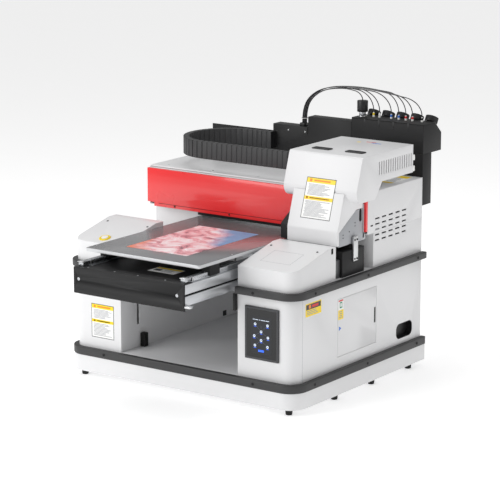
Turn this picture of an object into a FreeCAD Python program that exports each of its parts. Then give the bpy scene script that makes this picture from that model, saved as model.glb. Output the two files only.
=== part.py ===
import FreeCAD, Part
import math
import os
import re
import Sketcher

# Flatbed UV printer.  Millimetres, +Z up.  The origin is on the floor, under the middle of the
# whole machine; "left" and "front" place the outer faces of the bumper strips from it.
sizes = {
    # floor plan of the stand
    "left": -561.0,
    "front": -393.28,
    "width": 1100.0,
    "depth": 930.0,
    "rear_face": 923.0,
    "side_inset": 22.0,
    "wall": 4.0,
    "gap": 0.3,
    "corner_radius": 75.0,
    "foot_height": 25.0,
    "foot_radius": 15.0,
    "foot_pad": 22.0,
    "foot_stem": 6.0,
    "foot_inset": 34.0,
    "corner_foot_x": 60.0,
    "corner_foot_y": 44.0,
    "plinth_inset": 3.0,
    "plinth_step": 90.0,
    "stand_floor": 122.0,
    "upper_strip_low": 443.0,
    "deck": 470.0,
    "bay_left": 261.0,
    "bay_width": 560.0,
    "bay_panel_top": 395.0,
    # front covers on the deck
    "cover_front_top": 548.0,
    "cover_top": 600.0,
    "cover_slope_end": 251.0,
    "cover_back": 299.0,
    "button_x": 150.0,
    "button_y": 68.0,
    "button_radius": 14.0,
    "button_hole": 14.6,
    "button_height": 10.0,
    "button_stand": 6.0,
    # touch screen
    "screen_x": 859.0,
    "screen_z": 199.0,
    "screen_width": 152.0,
    "screen_height": 203.0,
    "screen_frame": 9.0,
    "screen_depth": 8.0,
    # side door and hand recess in the right cabinet
    "door_y": 313.0,
    "door_z": 166.0,
    "door_width": 277.0,
    "door_height": 227.0,
    "door_gap": 1.5,
    "door_pin_radius": 1.2,
    "door_pin_play": 0.05,
    "door_pin_half": 8.0,
    "pull_width": 12.0,
    "pull_height": 62.0,
    "pull_inset": 5.0,
    "recess_y": 739.0,
    "recess_z": 142.0,
    "recess_width": 121.0,
    "recess_height": 62.0,
    "recess_depth": 28.0,
    "recess_radius": 24.0,
    # housing of the gantry
    "housing_front": 520.0,
    "housing_low": 607.0,
    "housing_top": 769.0,
    "riser_front": 562.0,
    "vent_y": 590.0,
    "vent_z": 575.0,
    "vent_pitch_y": 49.3,
    "vent_pitch_z": 21.5,
    "vent_length": 32.0,
    "vent_height": 6.0,
    "red_front": 506.0,
    "red_low": 620.0,
    "red_top": 760.0,
    "red_wall": 2.0,
    "lip_low": 604.0,
    "lip_inset": 34.0,
    # gantry beam, rails and belt
    "beam_front": 545.0,
    "beam_depth": 80.0,
    "beam_low": 613.0,
    "beam_high": 745.0,
    "beam_wall": 5.0,
    "x_rail_depth": 12.0,
    "x_rail_height": 15.0,
    "x_rail_upper": 715.0,
    "x_rail_lower": 635.0,
    "belt_z": 675.0,
    "belt_y": 525.0,
    "belt_width": 10.0,
    "belt_thick": 1.5,
    "pulley_radius": 14.7,
    "pulley_shaft": 4.0,
    "pulley_inset": 62.0,
    "motor_side": 56.0,
    "lift_motor_side": 42.0,
    "motor_length": 50.0,
    # print head carriage
    "head_x": 843.0,
    "head_width": 228.0,
    "head_front": 318.0,
    "head_low": 596.0,
    "head_knee": 651.0,
    "head_lean": 0.3226,
    "hood_x": 792.0,
    "hood_width": 332.0,
    "hood_top": 928.0,
    "hood_low": 755.0,
    "hood_rear_low": 818.0,
    "hood_step_start": 499.0,
    "hood_step_end": 547.0,
    "hood_back": 772.0,
    "hood_wall": 3.0,
    "carriage_low": 590.0,
    "carriage_thick": 8.0,
    "carriage_back": 510.5,
    "block_length": 60.0,
    "nozzle_z": 589.0,
    "lamp_width": 50.0,
    "lamp_front": 345.0,
    "lamp_low": 592.0,
    "lamp_front_top": 651.0,
    "lamp_slope": 0.6,
    "lamp_slope_end": 449.0,
    # capping station
    "station_front": 346.0,
    "station_back": 500.0,
    "station_top": 569.0,
    "station_wall": 3.0,
    # rear panel, ink tanks and caps
    "panel_left": 48.0,
    "panel_top": 889.0,
    "panel_thick": 4.0,
    "panel_low": 655.0,
    "duct_left": 358.0,
    "duct_right": 527.0,
    "duct_top": 918.0,
    "duct_depth": 52.0,
    "step_left": 531.0,
    "step_top": 962.0,
    "tank_left": 741.0,
    "tank_low": 860.0,
    "tank_top": 976.0,
    "lid_thick": 4.0,
    "tank_slope_start": 1017.0,
    "tank_rear": 1064.0,
    "tank_rear_top": 933.0,
    "cap_y": 1036.46,
    "cap_low": 972.0,
    "cap_tilt": 30.0,
    "cap_radius": 26.5,
    "cap_height": 22.0,
    "cap_neck_radius": 18.0,
    "cap_neck_depth": 40.0,
    "fitting_y": 975.0,
    "fitting_radius": 5.0,
    "fitting_height": 20.0,
    "stirrer_x": 770.0,
    "stirrer_y": 960.0,
    "stirrer_radius": 22.0,
    "stirrer_base": 20.0,
    "stirrer_height": 46.0,
    "tube_radius": 2.0,
    # drag chain
    "chain_front": 536.0,
    "chain_back": 910.0,
    "chain_thick": 24.0,
    "chain_low": 818.0,
    "chain_high": 888.0,
    "chain_bend_x": 278.0,
    "chain_fixed_x": 372.0,
    # bed that lifts
    "bed_x": 281.0,
    "bed_width": 520.0,
    "bed_out": 284.0,
    "bed_back": 890.0,
    "bed_low": 446.0,
    "bed_top": 526.0,
    "bed_bar": 40.0,
    "bed_plate_low": 428.0,
    "bed_plate_thick": 6.0,
    "bed_flange": 52.0,
    "bed_groove": 8.0,
    "cross_height": 24.0,
    "cross_width": 30.0,
    "y_rail_width": 22.0,
    "y_rail_height": 20.0,
    "y_screw_z": 500.0,
    "y_screw_radius": 8.0,
    "screw_play": 0.06,
    "lift_y": 132.0,
    "lift_rear_y": 790.0,
    "lift_screw_x": 235.0,
    "lift_screw_radius": 8.0,
    "lift_plate_low": 370.0,
    "lift_plate_high": 500.0,
    "lift_plate_thick": 12.0,
    "lift_plate_width": 64.0,
    "lift_tongue": 8.0,
    "lift_travel": 150.0,
    # platen
    "platen_x": 273.0,
    "platen_width": 536.0,
    "platen_out": 203.0,
    "platen_length": 758.0,
    "platen_low": 573.0,
    "platen_top": 586.0,
    "platen_radius": 10.0,
    "block_front_inset": 80.0,
    "block_back_inset": 195.0,
    "screw_head": 5.0,
}

doc = FreeCAD.newDocument("flatbed_printer")
sheet = doc.addObject("Spreadsheet::Sheet", "Sizes")
for row, (name, number) in enumerate(sizes.items(), start=1):
    sheet.set(f"A{row}", name)
    sheet.set(f"B{row}", str(number))
    sheet.setAlias(f"B{row}", name)
doc.recompute()

nodes = []
up_y = FreeCAD.Rotation(FreeCAD.Vector(1, 0, 0), -90)
up_x = FreeCAD.Rotation(FreeCAD.Vector(0, 1, 0), 90)
no_turn = FreeCAD.Rotation()


def formula(text):
    """Turn size names into references to the sheet."""
    return re.sub(r"[a-z][a-z_]*", lambda m: "Sizes." + m.group(0) if m.group(0) in sizes else m.group(0), text)


def size(name):
    return float(sheet.get(name))


def bind(obj, prop, text):
    obj.setExpression(prop, formula(text))


def place(obj, x, y, z, rotation=no_turn):
    obj.Placement = FreeCAD.Placement(FreeCAD.Vector(), rotation)
    for axis, text in zip("xyz", (x, y, z)):
        bind(obj, "Placement.Base." + axis, text)
    return obj


def across(text):
    """A distance from the left bumper's outer face."""
    return f"left + {text}"


def along(text):
    """A distance from the front bumper's outer face."""
    return f"front + {text}"


def block(label, x, y, z):
    """A box given by its lowest and highest place on each axis."""
    obj = doc.addObject("Part::Box", label)
    for prop, (low, high) in zip(("Length", "Width", "Height"), (x, y, z)):
        bind(obj, prop, f"({high}) - ({low})")
    return place(obj, x[0], y[0], z[0])


def rod(label, x, y, z, radius, length, rotation=no_turn):
    obj = doc.addObject("Part::Cylinder", label)
    bind(obj, "Radius", radius)
    bind(obj, "Height", length)
    return place(obj, x, y, z, rotation)


def fuse(label, *pieces):
    obj = doc.addObject("Part::MultiFuse", label)
    obj.Shapes = list(pieces)
    obj.Refine = True
    return obj


def cut(label, base, *tools):
    obj = doc.addObject("Part::Cut", label)
    obj.Base = base
    obj.Tool = tools[0] if len(tools) == 1 else fuse(label + "_tools", *tools)
    obj.Refine = True
    return obj


def group(label, *pieces):
    obj = doc.addObject("Part::Compound", label)
    obj.Links = list(pieces)
    return obj


def node(label, obj):
    obj.Label = label
    nodes.append(obj)
    return obj


def outline(label, role, points, depth, x, y, z):
    """A padded closed outline; each point is two formulas on the body's own plane."""
    body = doc.addObject("PartDesign::Body", label)
    sketch = body.newObject("Sketcher::SketchObject", label + "_sketch")
    plane = [f for f in body.Origin.OriginFeatures if f.Role == role][0]
    sketch.AttachmentSupport = [(plane, "")]
    sketch.MapMode = "FlatFace"
    count = len(points)
    ring = [FreeCAD.Vector(math.cos(k), math.sin(k), 0) * 100 for k in range(count)]
    for k in range(count):
        sketch.addGeometry(Part.LineSegment(ring[k], ring[(k + 1) % count]), False)
    for k in range(count):
        sketch.addConstraint(Sketcher.Constraint("Coincident", k, 2, (k + 1) % count, 1))
    for k, (u, v) in enumerate(points):
        for kind, text in (("DistanceX", u), ("DistanceY", v)):
            index = sketch.addConstraint(Sketcher.Constraint(kind, -1, 1, k, 1, 10.0))
            bind(sketch, f"Constraints[{index}]", text)
    pad = body.newObject("PartDesign::Pad", label + "_pad")
    pad.Profile = sketch
    bind(pad, "Length", depth)
    body.Tip = pad
    return place(body, x, y, z)


def upright_edges(shape, corners):
    """Names of the vertical edges at the named corners of a shape's box."""
    box = shape.BoundBox
    wanted = {"front_left": (box.XMin, box.YMin), "front_right": (box.XMax, box.YMin),
              "back_left": (box.XMin, box.YMax), "back_right": (box.XMax, box.YMax)}
    names = []
    for number, edge in enumerate(shape.Edges, start=1):
        if edge.BoundBox.XLength + edge.BoundBox.YLength > 0.01:
            continue
        middle = edge.CenterOfMass
        for corner in corners:
            if math.dist((middle.x, middle.y), wanted[corner]) < 0.1:
                names.append(f"Edge{number}")
    return names


def round_corners(body, radius, corners):
    doc.recompute()
    pad = body.Tip
    fillet = body.newObject("PartDesign::Fillet", body.Name + "_fillet")
    fillet.Base = (pad, upright_edges(pad.Shape, corners))
    bind(fillet, "Radius", radius)
    body.Tip = fillet
    return body


def slab(label, x, y, z, radius, corners):
    """A padded rectangle whose named corners are rounded."""
    wide, deep = f"({x[1]}) - ({x[0]})", f"({y[1]}) - ({y[0]})"
    points = [("0", "0"), (wide, "0"), (wide, deep), ("0", deep)]
    body = outline(label, "XY_Plane", points, f"({z[1]}) - ({z[0]})", x[0], y[0], z[0])
    return round_corners(body, radius, corners)


def side_profile(label, points, x_from, x_to):
    """A padded outline drawn on the plane across the machine: (distance back, height)."""
    return outline(label, "YZ_Plane", points, f"({x_to}) - ({x_from})", x_from, "front", "0")


bay_right = "(bay_left + bay_width)"
bay_middle = "(bay_left + bay_width / 2)"
cabinet_right = "(width - side_inset)"


def mirrored(text):
    """The same distance on the other side of the bay's middle."""
    return f"(2 * {bay_middle} - ({text}))"


def make_stand():
    """Plinth, feet, bumper strips, two hollow cabinets and the panel behind the bay."""
    strip = "(corner_radius)"
    inner = "(corner_radius - side_inset)"
    both = ("front_left", "front_right")
    skirt = slab("plinth_skirt", (across("plinth_inset"), across("width - plinth_inset")),
                 (along("plinth_inset"), along("depth")), ("foot_height", "plinth_step"),
                 "corner_radius - plinth_inset", both)
    core = slab("plinth_core", (across("side_inset"), across("width - side_inset")),
                (along("side_inset"), along("rear_face")), ("plinth_step - wall", "stand_floor"), inner, both)
    hollow = slab("plinth_hollow", (across("plinth_inset + wall"), across("width - plinth_inset - wall")),
                  (along("plinth_inset + wall"), along("depth - wall")),
                  ("foot_height - 1", "plinth_step - wall"), "corner_radius - plinth_inset - wall", both)
    upper = slab("plinth_upper_hollow", (across("side_inset + wall"), across("width - side_inset - wall")),
                 (along("side_inset + wall"), along("rear_face - wall")),
                 ("plinth_step - 2 * wall", "stand_floor - wall"), "corner_radius - side_inset - wall", both)
    node("base_plinth", cut("plinth", fuse("plinth_solid", skirt, core), hollow, upper))
    feet = []
    for x, y in (("corner_foot_x", "corner_foot_y"), ("foot_inset", "313"), ("foot_inset", "576"),
                 ("foot_inset", "853")):
        for place_x in (x, f"width - {x}"):
            pad = rod("foot_disc", across(place_x), along(y), "0", "foot_radius", "foot_pad")
            stem = rod("foot_stem_rod", across(place_x), along(y), "foot_pad", "foot_stem",
                       "stand_floor - wall - foot_pad")
            feet.append(fuse("foot", pad, stem))
    node("levelling_feet", group("feet", *feet))

    outer = slab("strip_outer", (across("0"), across("width")), (along("0"), along("depth")),
                 ("plinth_step", "stand_floor"), strip, both)
    inside = slab("strip_inside", (across("side_inset"), across("width - side_inset")),
                  (along("side_inset"), along("depth + 1")), ("plinth_step - 1", "stand_floor + 1"), inner, both)
    node("lower_bumper_strip", cut("lower_strip", outer, inside))

    ends = []
    for side, low, high, corner in (("left", "0", "bay_left", "front_left"),
                                    ("right", bay_right, "width", "front_right")):
        inner_low = "side_inset" if side == "left" else f"{bay_right} - 1"
        inner_high = "bay_left + 1" if side == "left" else cabinet_right
        outer = slab(side + "_strip_outer", (across(low), across(high)), (along("0"), along("depth")),
                     ("upper_strip_low", "deck"), strip, (corner,))
        inside = slab(side + "_strip_inside", (across(inner_low), across(inner_high)),
                      (along("side_inset"), along("depth + 1")), ("upper_strip_low - 1", "deck + 1"),
                      inner, (corner,))
        ends.append(cut(side + "_upper_strip", outer, inside))
    node("upper_bumper_strips", group("upper_strips", *ends))

    slots = lift_slots()
    shell = cabinet_shell("left", "side_inset", "bay_left", "front_left")
    node("left_cabinet", cut("left_casing", shell, *slots["left"]))
    shell = cabinet_shell("right", bay_right, cabinet_right, "front_right")
    pins = door_pin_holes("door_pin_radius")
    cup_y = (along("recess_y - wall"), along("recess_y + recess_width + wall"))
    cup_z = ("recess_z - wall", "recess_z + recess_height + wall")
    cup_x = (across("width - side_inset - recess_depth - wall"), across("width - side_inset"))
    cup = block("recess_cup", cup_x, cup_y, cup_z)
    hand = rounded_hole("recess_hole", "recess_y", "recess_z", "recess_width", "recess_height",
                        "recess_radius", "recess_depth")
    opening = block("door_opening", (across("width - side_inset - wall - 1"), across("width")),
                    (along("door_y"), along("door_y + door_width")), ("door_z", "door_z + door_height"))
    casing = cut("right_casing", fuse("right_shell_cup", shell, cup), opening, hand, *slots["right"], *pins)
    node("right_cabinet", casing)
    node("bay_rear_panel", block("bay_panel", (across("bay_left"), across(bay_right)),
                                 (along("rear_face - 14"), along("rear_face - 14 + wall")),
                                 ("stand_floor", "bay_panel_top")))


def rounded_hole(label, y, z, wide, high, radius, depth):
    """A block with rounded corners that cuts into the right side face."""
    points = [("0", "0"), (wide, "0"), (wide, high), ("0", high)]
    body = outline(label, "YZ_Plane", points, f"{depth} + 1", across(f"width - side_inset - ({depth})"),
                   along(y), z)
    doc.recompute()
    pad = body.Tip
    names = [f"Edge{k}" for k, e in enumerate(pad.Shape.Edges, start=1)
             if e.BoundBox.YLength + e.BoundBox.ZLength < 0.01]
    fillet = body.newObject("PartDesign::Fillet", label + "_fillet")
    fillet.Base = (pad, names)
    bind(fillet, "Radius", radius)
    body.Tip = fillet
    return body


def cabinet_shell(side, low, high, corner):
    """A cabinet open at the bottom, where it stands on the plinth."""
    outer = slab(side + "_outer", (across(low), across(high)), (along("side_inset"), along("rear_face")),
                 ("stand_floor", "deck"), "corner_radius - side_inset", (corner,))
    inner = slab(side + "_inner", (across(f"{low} + wall"), across(f"{high} - wall")),
                 (along("side_inset + wall"), along("rear_face - wall")),
                 ("stand_floor - 1", "deck - wall"), "corner_radius - side_inset - wall", (corner,))
    return cut(side + "_shell", outer, inner)


def lift_slots():
    """Upright slots in the bay's walls, for the tongues of the lift plates."""
    slots = {"left": [], "right": []}
    for y in ("lift_y", "lift_rear_y"):
        deep = (along(f"{y} - lift_tongue / 2 - 1.5"), along(f"{y} + lift_tongue / 2 + 1.5"))
        high = ("lift_plate_low - lift_travel - 5", "upper_strip_low")
        slots["left"].append(block("left_slot", (across("bay_left - wall - 1"), across("bay_left + 1")), deep, high))
        low = across(mirrored("bay_left + 1"))
        slots["right"].append(block("right_slot", (low, across(mirrored("bay_left - wall - 1"))), deep, high))
    return slots


def door_axis():
    return across("width - side_inset - wall / 2"), along("door_y + 2 * door_gap")


def door_pin_holes(radius):
    """Bores for the two door pins, half in the cabinet and half in the door."""
    x, y = door_axis()
    ends = ("door_z - door_pin_half", "door_z + door_height - door_pin_half")
    return [rod("door_pin_bore", x, y, z, radius, "2 * door_pin_half") for z in ends]


def make_door():
    """Side door that swings on two pins at its front edge, with a finger slot at its rear edge."""
    leaf = block("door_leaf", (across("width - side_inset - wall"), across(cabinet_right)),
                 (along("door_y + door_gap"), along("door_y + door_width - door_gap")),
                 ("door_z + door_gap", "door_z + door_height - door_gap"))
    slot_y = "door_y + door_width - pull_inset"
    slot_z = "door_z + door_height / 2 - pull_height / 2"
    slot = block("door_pull_slot", (across("width - side_inset - wall - 1"), across("width")),
                 (along(f"{slot_y} - pull_width"), along(slot_y)), (slot_z, f"{slot_z} + pull_height"))
    node("side_door", cut("door", leaf, slot, *door_pin_holes("door_pin_radius + door_pin_play")))
    node("door_hinge_pins", group("door_pins", *door_pin_holes("door_pin_radius")))


def cover_profile(inset):
    """Side outline of a front cover, drawn in by a wall."""
    return [(f"side_inset + {inset}", "deck"),
            (f"side_inset + {inset}", f"cover_front_top - {inset}"),
            ("cover_slope_end", f"cover_top - {inset}"),
            (f"cover_back - {inset}", f"cover_top - {inset}"),
            (f"cover_back - {inset}", "deck")]


def make_front_covers():
    """Sloped hollow covers on both decks, and the push button in the left one."""
    for side, low, high, corner in (("left", "side_inset", "bay_left", "front_left"),
                                    ("right", bay_right, cabinet_right, "front_right")):
        outer = side_profile(side + "_cover_outer", cover_profile("0"), across(low), across(high))
        round_corners(outer, "corner_radius - side_inset", (corner,))
        inner = side_profile(side + "_cover_inner", cover_profile("wall"), across(f"{low} + wall"),
                             across(f"{high} - wall"))
        round_corners(inner, "corner_radius - side_inset - wall", (corner,))
        tools = [inner]
        if side == "left":
            tools.append(button_rod("button_hole", "button_hole", "-20", "40"))
        node(side + "_front_cover", cut(side + "_cover", outer, *tools))
    node("power_button", button_rod("button", "button_radius", "button_stand - button_height", "button_height"))


def button_rod(label, radius, start, length):
    """A rod square to the left cover's slope, from start to start + length off its face."""
    rise = "(cover_top - cover_front_top) / (cover_slope_end - side_inset)"
    obj = doc.addObject("Part::Cylinder", label)
    bind(obj, "Radius", radius)
    bind(obj, "Height", length)
    place(obj, across("button_x"), along(f"button_y - ({start}) * {rise} / sqrt(1 + ({rise})^2)"),
          f"cover_front_top + (button_y - side_inset) * {rise} + ({start}) / sqrt(1 + ({rise})^2)",
          FreeCAD.Rotation(FreeCAD.Vector(1, 0, 0), 10))
    bind(obj, "Placement.Rotation.Angle", f"atan({rise})")
    return obj


def make_screen():
    """Upright touch screen on the right cabinet's front: a frame and its glass."""
    x = (across("screen_x"), across("screen_x + screen_width"))
    z = ("screen_z", "screen_z + screen_height")
    frame = block("screen_frame_box", x, (along("side_inset - screen_depth"), along("side_inset")), z)
    x_glass = (across("screen_x + screen_frame"), across("screen_x + screen_width - screen_frame"))
    z_glass = ("screen_z + screen_frame", "screen_z + screen_height - screen_frame")
    hole = block("screen_window", x_glass, (along("side_inset - screen_depth - 1"), along("side_inset - 3")), z_glass)
    node("screen_bezel", cut("screen_frame_cut", frame, hole))
    node("screen_glass", block("glass", x_glass, (along("side_inset - screen_depth + 1"), along("side_inset - 3")),
                               z_glass))


def make_housing():
    """Casing over the gantry, its two risers and the red cover in front of it."""
    outer = block("housing_outer", (across("side_inset"), across(cabinet_right)),
                  (along("housing_front"), along("rear_face")), ("housing_low", "housing_top"))
    inner = block("housing_inner", (across("side_inset + wall"), across(f"{cabinet_right} - wall")),
                  (along("housing_front - 1"), along("rear_face - wall")),
                  ("housing_low + wall", "housing_top - wall"))
    vents = []
    for column in range(5):
        for row in range(3):
            y = f"vent_y + {column} * vent_pitch_y"
            z = f"vent_z + {row + 2} * vent_pitch_z"
            vents.append(block("vent", (across(f"{cabinet_right} - wall - 1"), across("width")),
                               (along(f"{y} - vent_length / 2"), along(f"{y} + vent_length / 2")),
                               (f"{z} - vent_height / 2", f"{z} + vent_height / 2")))
    node("gantry_housing", cut("housing", outer, inner, *vents))

    risers = []
    for low, high in (("side_inset", "bay_left"), (bay_right, cabinet_right)):
        shell = block("riser_outer", (across(low), across(high)), (along("riser_front"), along("rear_face")),
                      ("deck", "housing_low"))
        core = block("riser_inner", (across(f"{low} + wall"), across(f"{high} - wall")),
                     (along("riser_front + wall"), along("rear_face - wall")), ("deck - 1", "housing_low + 1"))
        tools = [core]
        if low != "side_inset":
            for column in range(5):
                y = f"vent_y + {column} * vent_pitch_y"
                for row in range(2):
                    z = f"vent_z + {row} * vent_pitch_z"
                    tools.append(block("riser_vent", (across(f"{cabinet_right} - wall - 1"), across("width")),
                                       (along(f"{y} - vent_length / 2"), along(f"{y} + vent_length / 2")),
                                       (f"{z} - vent_height / 2", f"{z} + vent_height / 2")))
        risers.append(cut("riser", shell, *tools))
    node("gantry_risers", group("risers", *risers))

    ends = (across("side_inset"), across(cabinet_right))
    face = block("red_face", ends, (along("red_front"), along("red_front + red_wall")), ("red_low", "red_top"))
    top = block("red_top_flange", ends, (along("red_front"), along("housing_front")),
                ("red_top - red_wall", "red_top"))
    caps = [block("red_end", (across(low), across(high)), (along("red_front"), along("housing_front")),
                  ("red_low", "red_top"))
            for low, high in (("side_inset", "side_inset + red_wall"), (f"{cabinet_right} - red_wall", cabinet_right))]
    lip = block("red_lip", (across("side_inset + lip_inset"), across(f"{cabinet_right} - lip_inset")),
                (along("red_front"), along("red_front + red_wall")), ("lip_low", "red_low"))
    node("red_front_cover", fuse("red_cover", face, top, lip, *caps))


def make_gantry():
    """Box beam inside the housing, two linear rails, the toothed belt and its pulleys."""
    beam_x = (across("side_inset + wall"), across(f"{cabinet_right} - wall"))
    beam = block("beam_outer", beam_x, (along("beam_front"), along("beam_front + beam_depth")),
                 ("beam_low", "beam_high"))
    core = block("beam_core", (across("side_inset"), across("width")),
                 (along("beam_front + beam_wall"), along("beam_front + beam_depth - beam_wall")),
                 ("beam_low + beam_wall", "beam_high - beam_wall"))
    shaft_holes = [rod("beam_shaft_hole", across(x), along("beam_front - 1"), "belt_z",
                       "pulley_shaft + 2", "beam_wall + 2", up_y)
                   for x in ("side_inset + pulley_inset", f"{cabinet_right} - pulley_inset")]
    node("gantry_beam", cut("beam", beam, core, *shaft_holes))
    rails = [block("x_rail", (across("side_inset + wall + 4"), across(f"{cabinet_right} - wall - 4")),
                   (along("beam_front - x_rail_depth"), along("beam_front")),
                   (f"{z} - x_rail_height / 2", f"{z} + x_rail_height / 2"))
             for z in ("x_rail_upper", "x_rail_lower")]
    node("x_guide_rails", group("x_rails", *rails))

    loops = []
    for radius, start, deep in (("pulley_radius + gap + belt_thick", "belt_y", "belt_width"),
                                ("pulley_radius + gap", "belt_y - 1", "belt_width + 2")):
        ends = [rod("belt_end", across(x), along(start), "belt_z", radius, deep, up_y)
                for x in ("side_inset + pulley_inset", f"{cabinet_right} - pulley_inset")]
        run = block("belt_run", (across("side_inset + pulley_inset"), across(f"{cabinet_right} - pulley_inset")),
                    (along(start), along(f"{start} + {deep}")), (f"belt_z - ({radius})", f"belt_z + {radius}"))
        loops.append(fuse("belt_loop", run, *ends))
    node("x_belt", cut("belt", *loops))
    for label, x, end in (("x_drive_pulley", "side_inset + pulley_inset", "beam_front + beam_wall + 1 - gap"),
                          ("x_idler_pulley", f"{cabinet_right} - pulley_inset", "beam_front + beam_wall - 1")):
        wheel = rod(label + "_wheel", across(x), along("belt_y - 1"), "belt_z", "pulley_radius",
                    "belt_width + 2", up_y)
        shaft = rod(label + "_shaft", across(x), along("belt_y - 2"), "belt_z", "pulley_shaft",
                    f"{end} - belt_y + 2", up_y)
        node(label, fuse(label + "_turned", wheel, shaft))


def make_motors():
    """The belt's motor inside the beam, and a motor under each lift screw."""
    half = "motor_side / 2"
    x = "side_inset + pulley_inset"
    motors = [block("x_motor", (across(f"{x} - {half}"), across(f"{x} + {half}")),
                    (along("beam_front + beam_wall + 1"), along("beam_front + beam_wall + 1 + motor_length")),
                    (f"belt_z - {half}", f"belt_z + {half}"))]
    half = "lift_motor_side / 2"
    for x, y in lift_places():
        motors.append(block("lift_motor", (across(f"{x} - {half}"), across(f"{x} + {half}")),
                            (along(f"{y} - {half}"), along(f"{y} + {half}")),
                            ("stand_floor", "stand_floor + motor_length")))
    node("frame_motors", group("motors", *motors))


def lift_places():
    return [(x, y) for x in ("lift_screw_x", mirrored("lift_screw_x")) for y in ("lift_y", "lift_rear_y")]


def lean(z, inset="0"):
    """Distance back of the hood's leaning front at a height."""
    return f"head_front + ({z} - head_knee) * head_lean + {inset}"


def hood_upper(inset, slant):
    """Side outline of the wide upper hood, drawn in by a wall; the leaning front needs a little more."""
    low = f"hood_low + {inset}"
    top = f"hood_top - {inset}"
    return [(lean(low, slant), low), (lean(top, slant), top),
            (f"hood_back - {inset}", top), (f"hood_back - {inset}", f"hood_rear_low + {inset}"),
            (f"hood_step_end + {inset} / 2", f"hood_rear_low + {inset}"),
            (f"hood_step_start + {inset} / 2", low)]


def make_head():
    """Hood in one shell, the plate that carries the heads, bearing blocks, heads and lamp."""
    upper = side_profile("hood_upper", hood_upper("0", "0"), across("hood_x"), across("hood_x + hood_width"))
    upper_core = side_profile("hood_upper_core", hood_upper("hood_wall", "hood_wall * 1.06"),
                              across("hood_x + hood_wall"), across("hood_x + hood_width - hood_wall"))
    skirt = "head_front + 12"
    lower_points = [("head_front", "head_low"), ("head_front", "head_knee"),
                    (lean("(hood_low + 20)"), "hood_low + 20"), ("hood_step_start - 4", "hood_low + 20"),
                    ("hood_step_start - 4", "hood_low - 38"), ("hood_step_start - 50", "hood_low - 38"),
                    (skirt, "head_knee - 5"), (skirt, "head_low")]
    lower = side_profile("hood_lower", lower_points, across("head_x"), across("head_x + head_width"))
    core_points = [("head_front + hood_wall", "head_low - 1"), ("head_front + hood_wall", "head_knee"),
                   (lean("(hood_low + 22)", "hood_wall * 1.06"), "hood_low + 22"),
                   ("hood_step_start - 3", "hood_low + 22"), ("hood_step_start - 3", "head_low - 1")]
    lower_core = side_profile("hood_lower_core", core_points, across("head_x + hood_wall"),
                              across("head_x + head_width - hood_wall"))
    node("head_hood", cut("hood", fuse("hood_solid", upper, lower), upper_core, lower_core))

    inner = (across("head_x + hood_wall"), across("head_x + head_width - hood_wall"))
    floor = block("carriage_floor", inner, (along("head_front + 14"), along("carriage_back + carriage_thick")),
                  ("carriage_low", "carriage_low + carriage_thick"))
    back = block("carriage_back_plate", inner, (along("carriage_back"), along("carriage_back + carriage_thick")),
                 ("carriage_low", "x_rail_upper + 20"))
    clamp = block("belt_clamp", (across("head_x + head_width / 2 - 20"), across("head_x + head_width / 2 + 20")),
                  (along("carriage_back + carriage_thick"), along("belt_y - gap")),
                  ("belt_z - pulley_radius - 6", "belt_z - pulley_radius + 6"))
    window = block("carriage_window", (across("head_x + 34"), across("head_x + head_width - 34")),
                   (along("head_front + 56"), along("hood_step_start - 24")),
                   ("carriage_low - 1", "carriage_low + carriage_thick + 1"))
    node("head_carriage", cut("carriage", fuse("carriage_solid", floor, back, clamp), window))

    plates = []
    side_points = [("head_front + 13", "head_low - 3"), ("head_front + 13", "head_knee - 6"),
                   ("hood_step_start - 50", "hood_low - 40"), ("hood_step_start - 3", "hood_low - 40"),
                   ("hood_step_start - 3", "head_low - 3")]
    for x in ("head_x", "head_x + head_width - hood_wall"):
        plates.append(side_profile("head_side_plate", side_points, across(x), across(f"{x} + hood_wall")))
    node("head_side_plates", group("side_plates", *plates))

    blocks = []
    for z in ("x_rail_upper", "x_rail_lower"):
        for x in ("head_x + 6", "head_x + head_width - 6 - block_length"):
            body = block("x_block", (across(x), across(f"{x} + block_length")),
                         (along("carriage_back + carriage_thick"), along("beam_front - 3")),
                         (f"{z} - 17", f"{z} + 17"))
            slot = block("x_block_slot", (across(f"{x} - 1"), across(f"{x} + block_length + 1")),
                         (along("beam_front - x_rail_depth - gap"), along("beam_front")),
                         (f"{z} - x_rail_height / 2 - gap", f"{z} + x_rail_height / 2 + gap"))
            blocks.append(cut("x_block_cut", body, slot))
    node("x_bearing_blocks", group("x_blocks", *blocks))

    heads = []
    for k in range(3):
        low = f"head_x + 40 + {k} * 50"
        heads.append(block("head_block", (across(low), across(f"{low} + 44")),
                           (along("head_front + 62"), along("head_front + 152")),
                           ("nozzle_z", "carriage_low + 70")))
    node("print_heads", group("heads", *heads))
    lamp_top = "(lamp_front_top + (lamp_slope_end - lamp_front) * lamp_slope)"
    lamp_points = [("lamp_front", "lamp_low"), ("lamp_front", "lamp_front_top"), ("lamp_slope_end", lamp_top),
                   ("hood_step_start - 4", lamp_top), ("hood_step_start - 4", "lamp_low")]
    node("uv_lamp", side_profile("lamp", lamp_points, across("head_x - lamp_width"), across("head_x - gap")))


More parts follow.
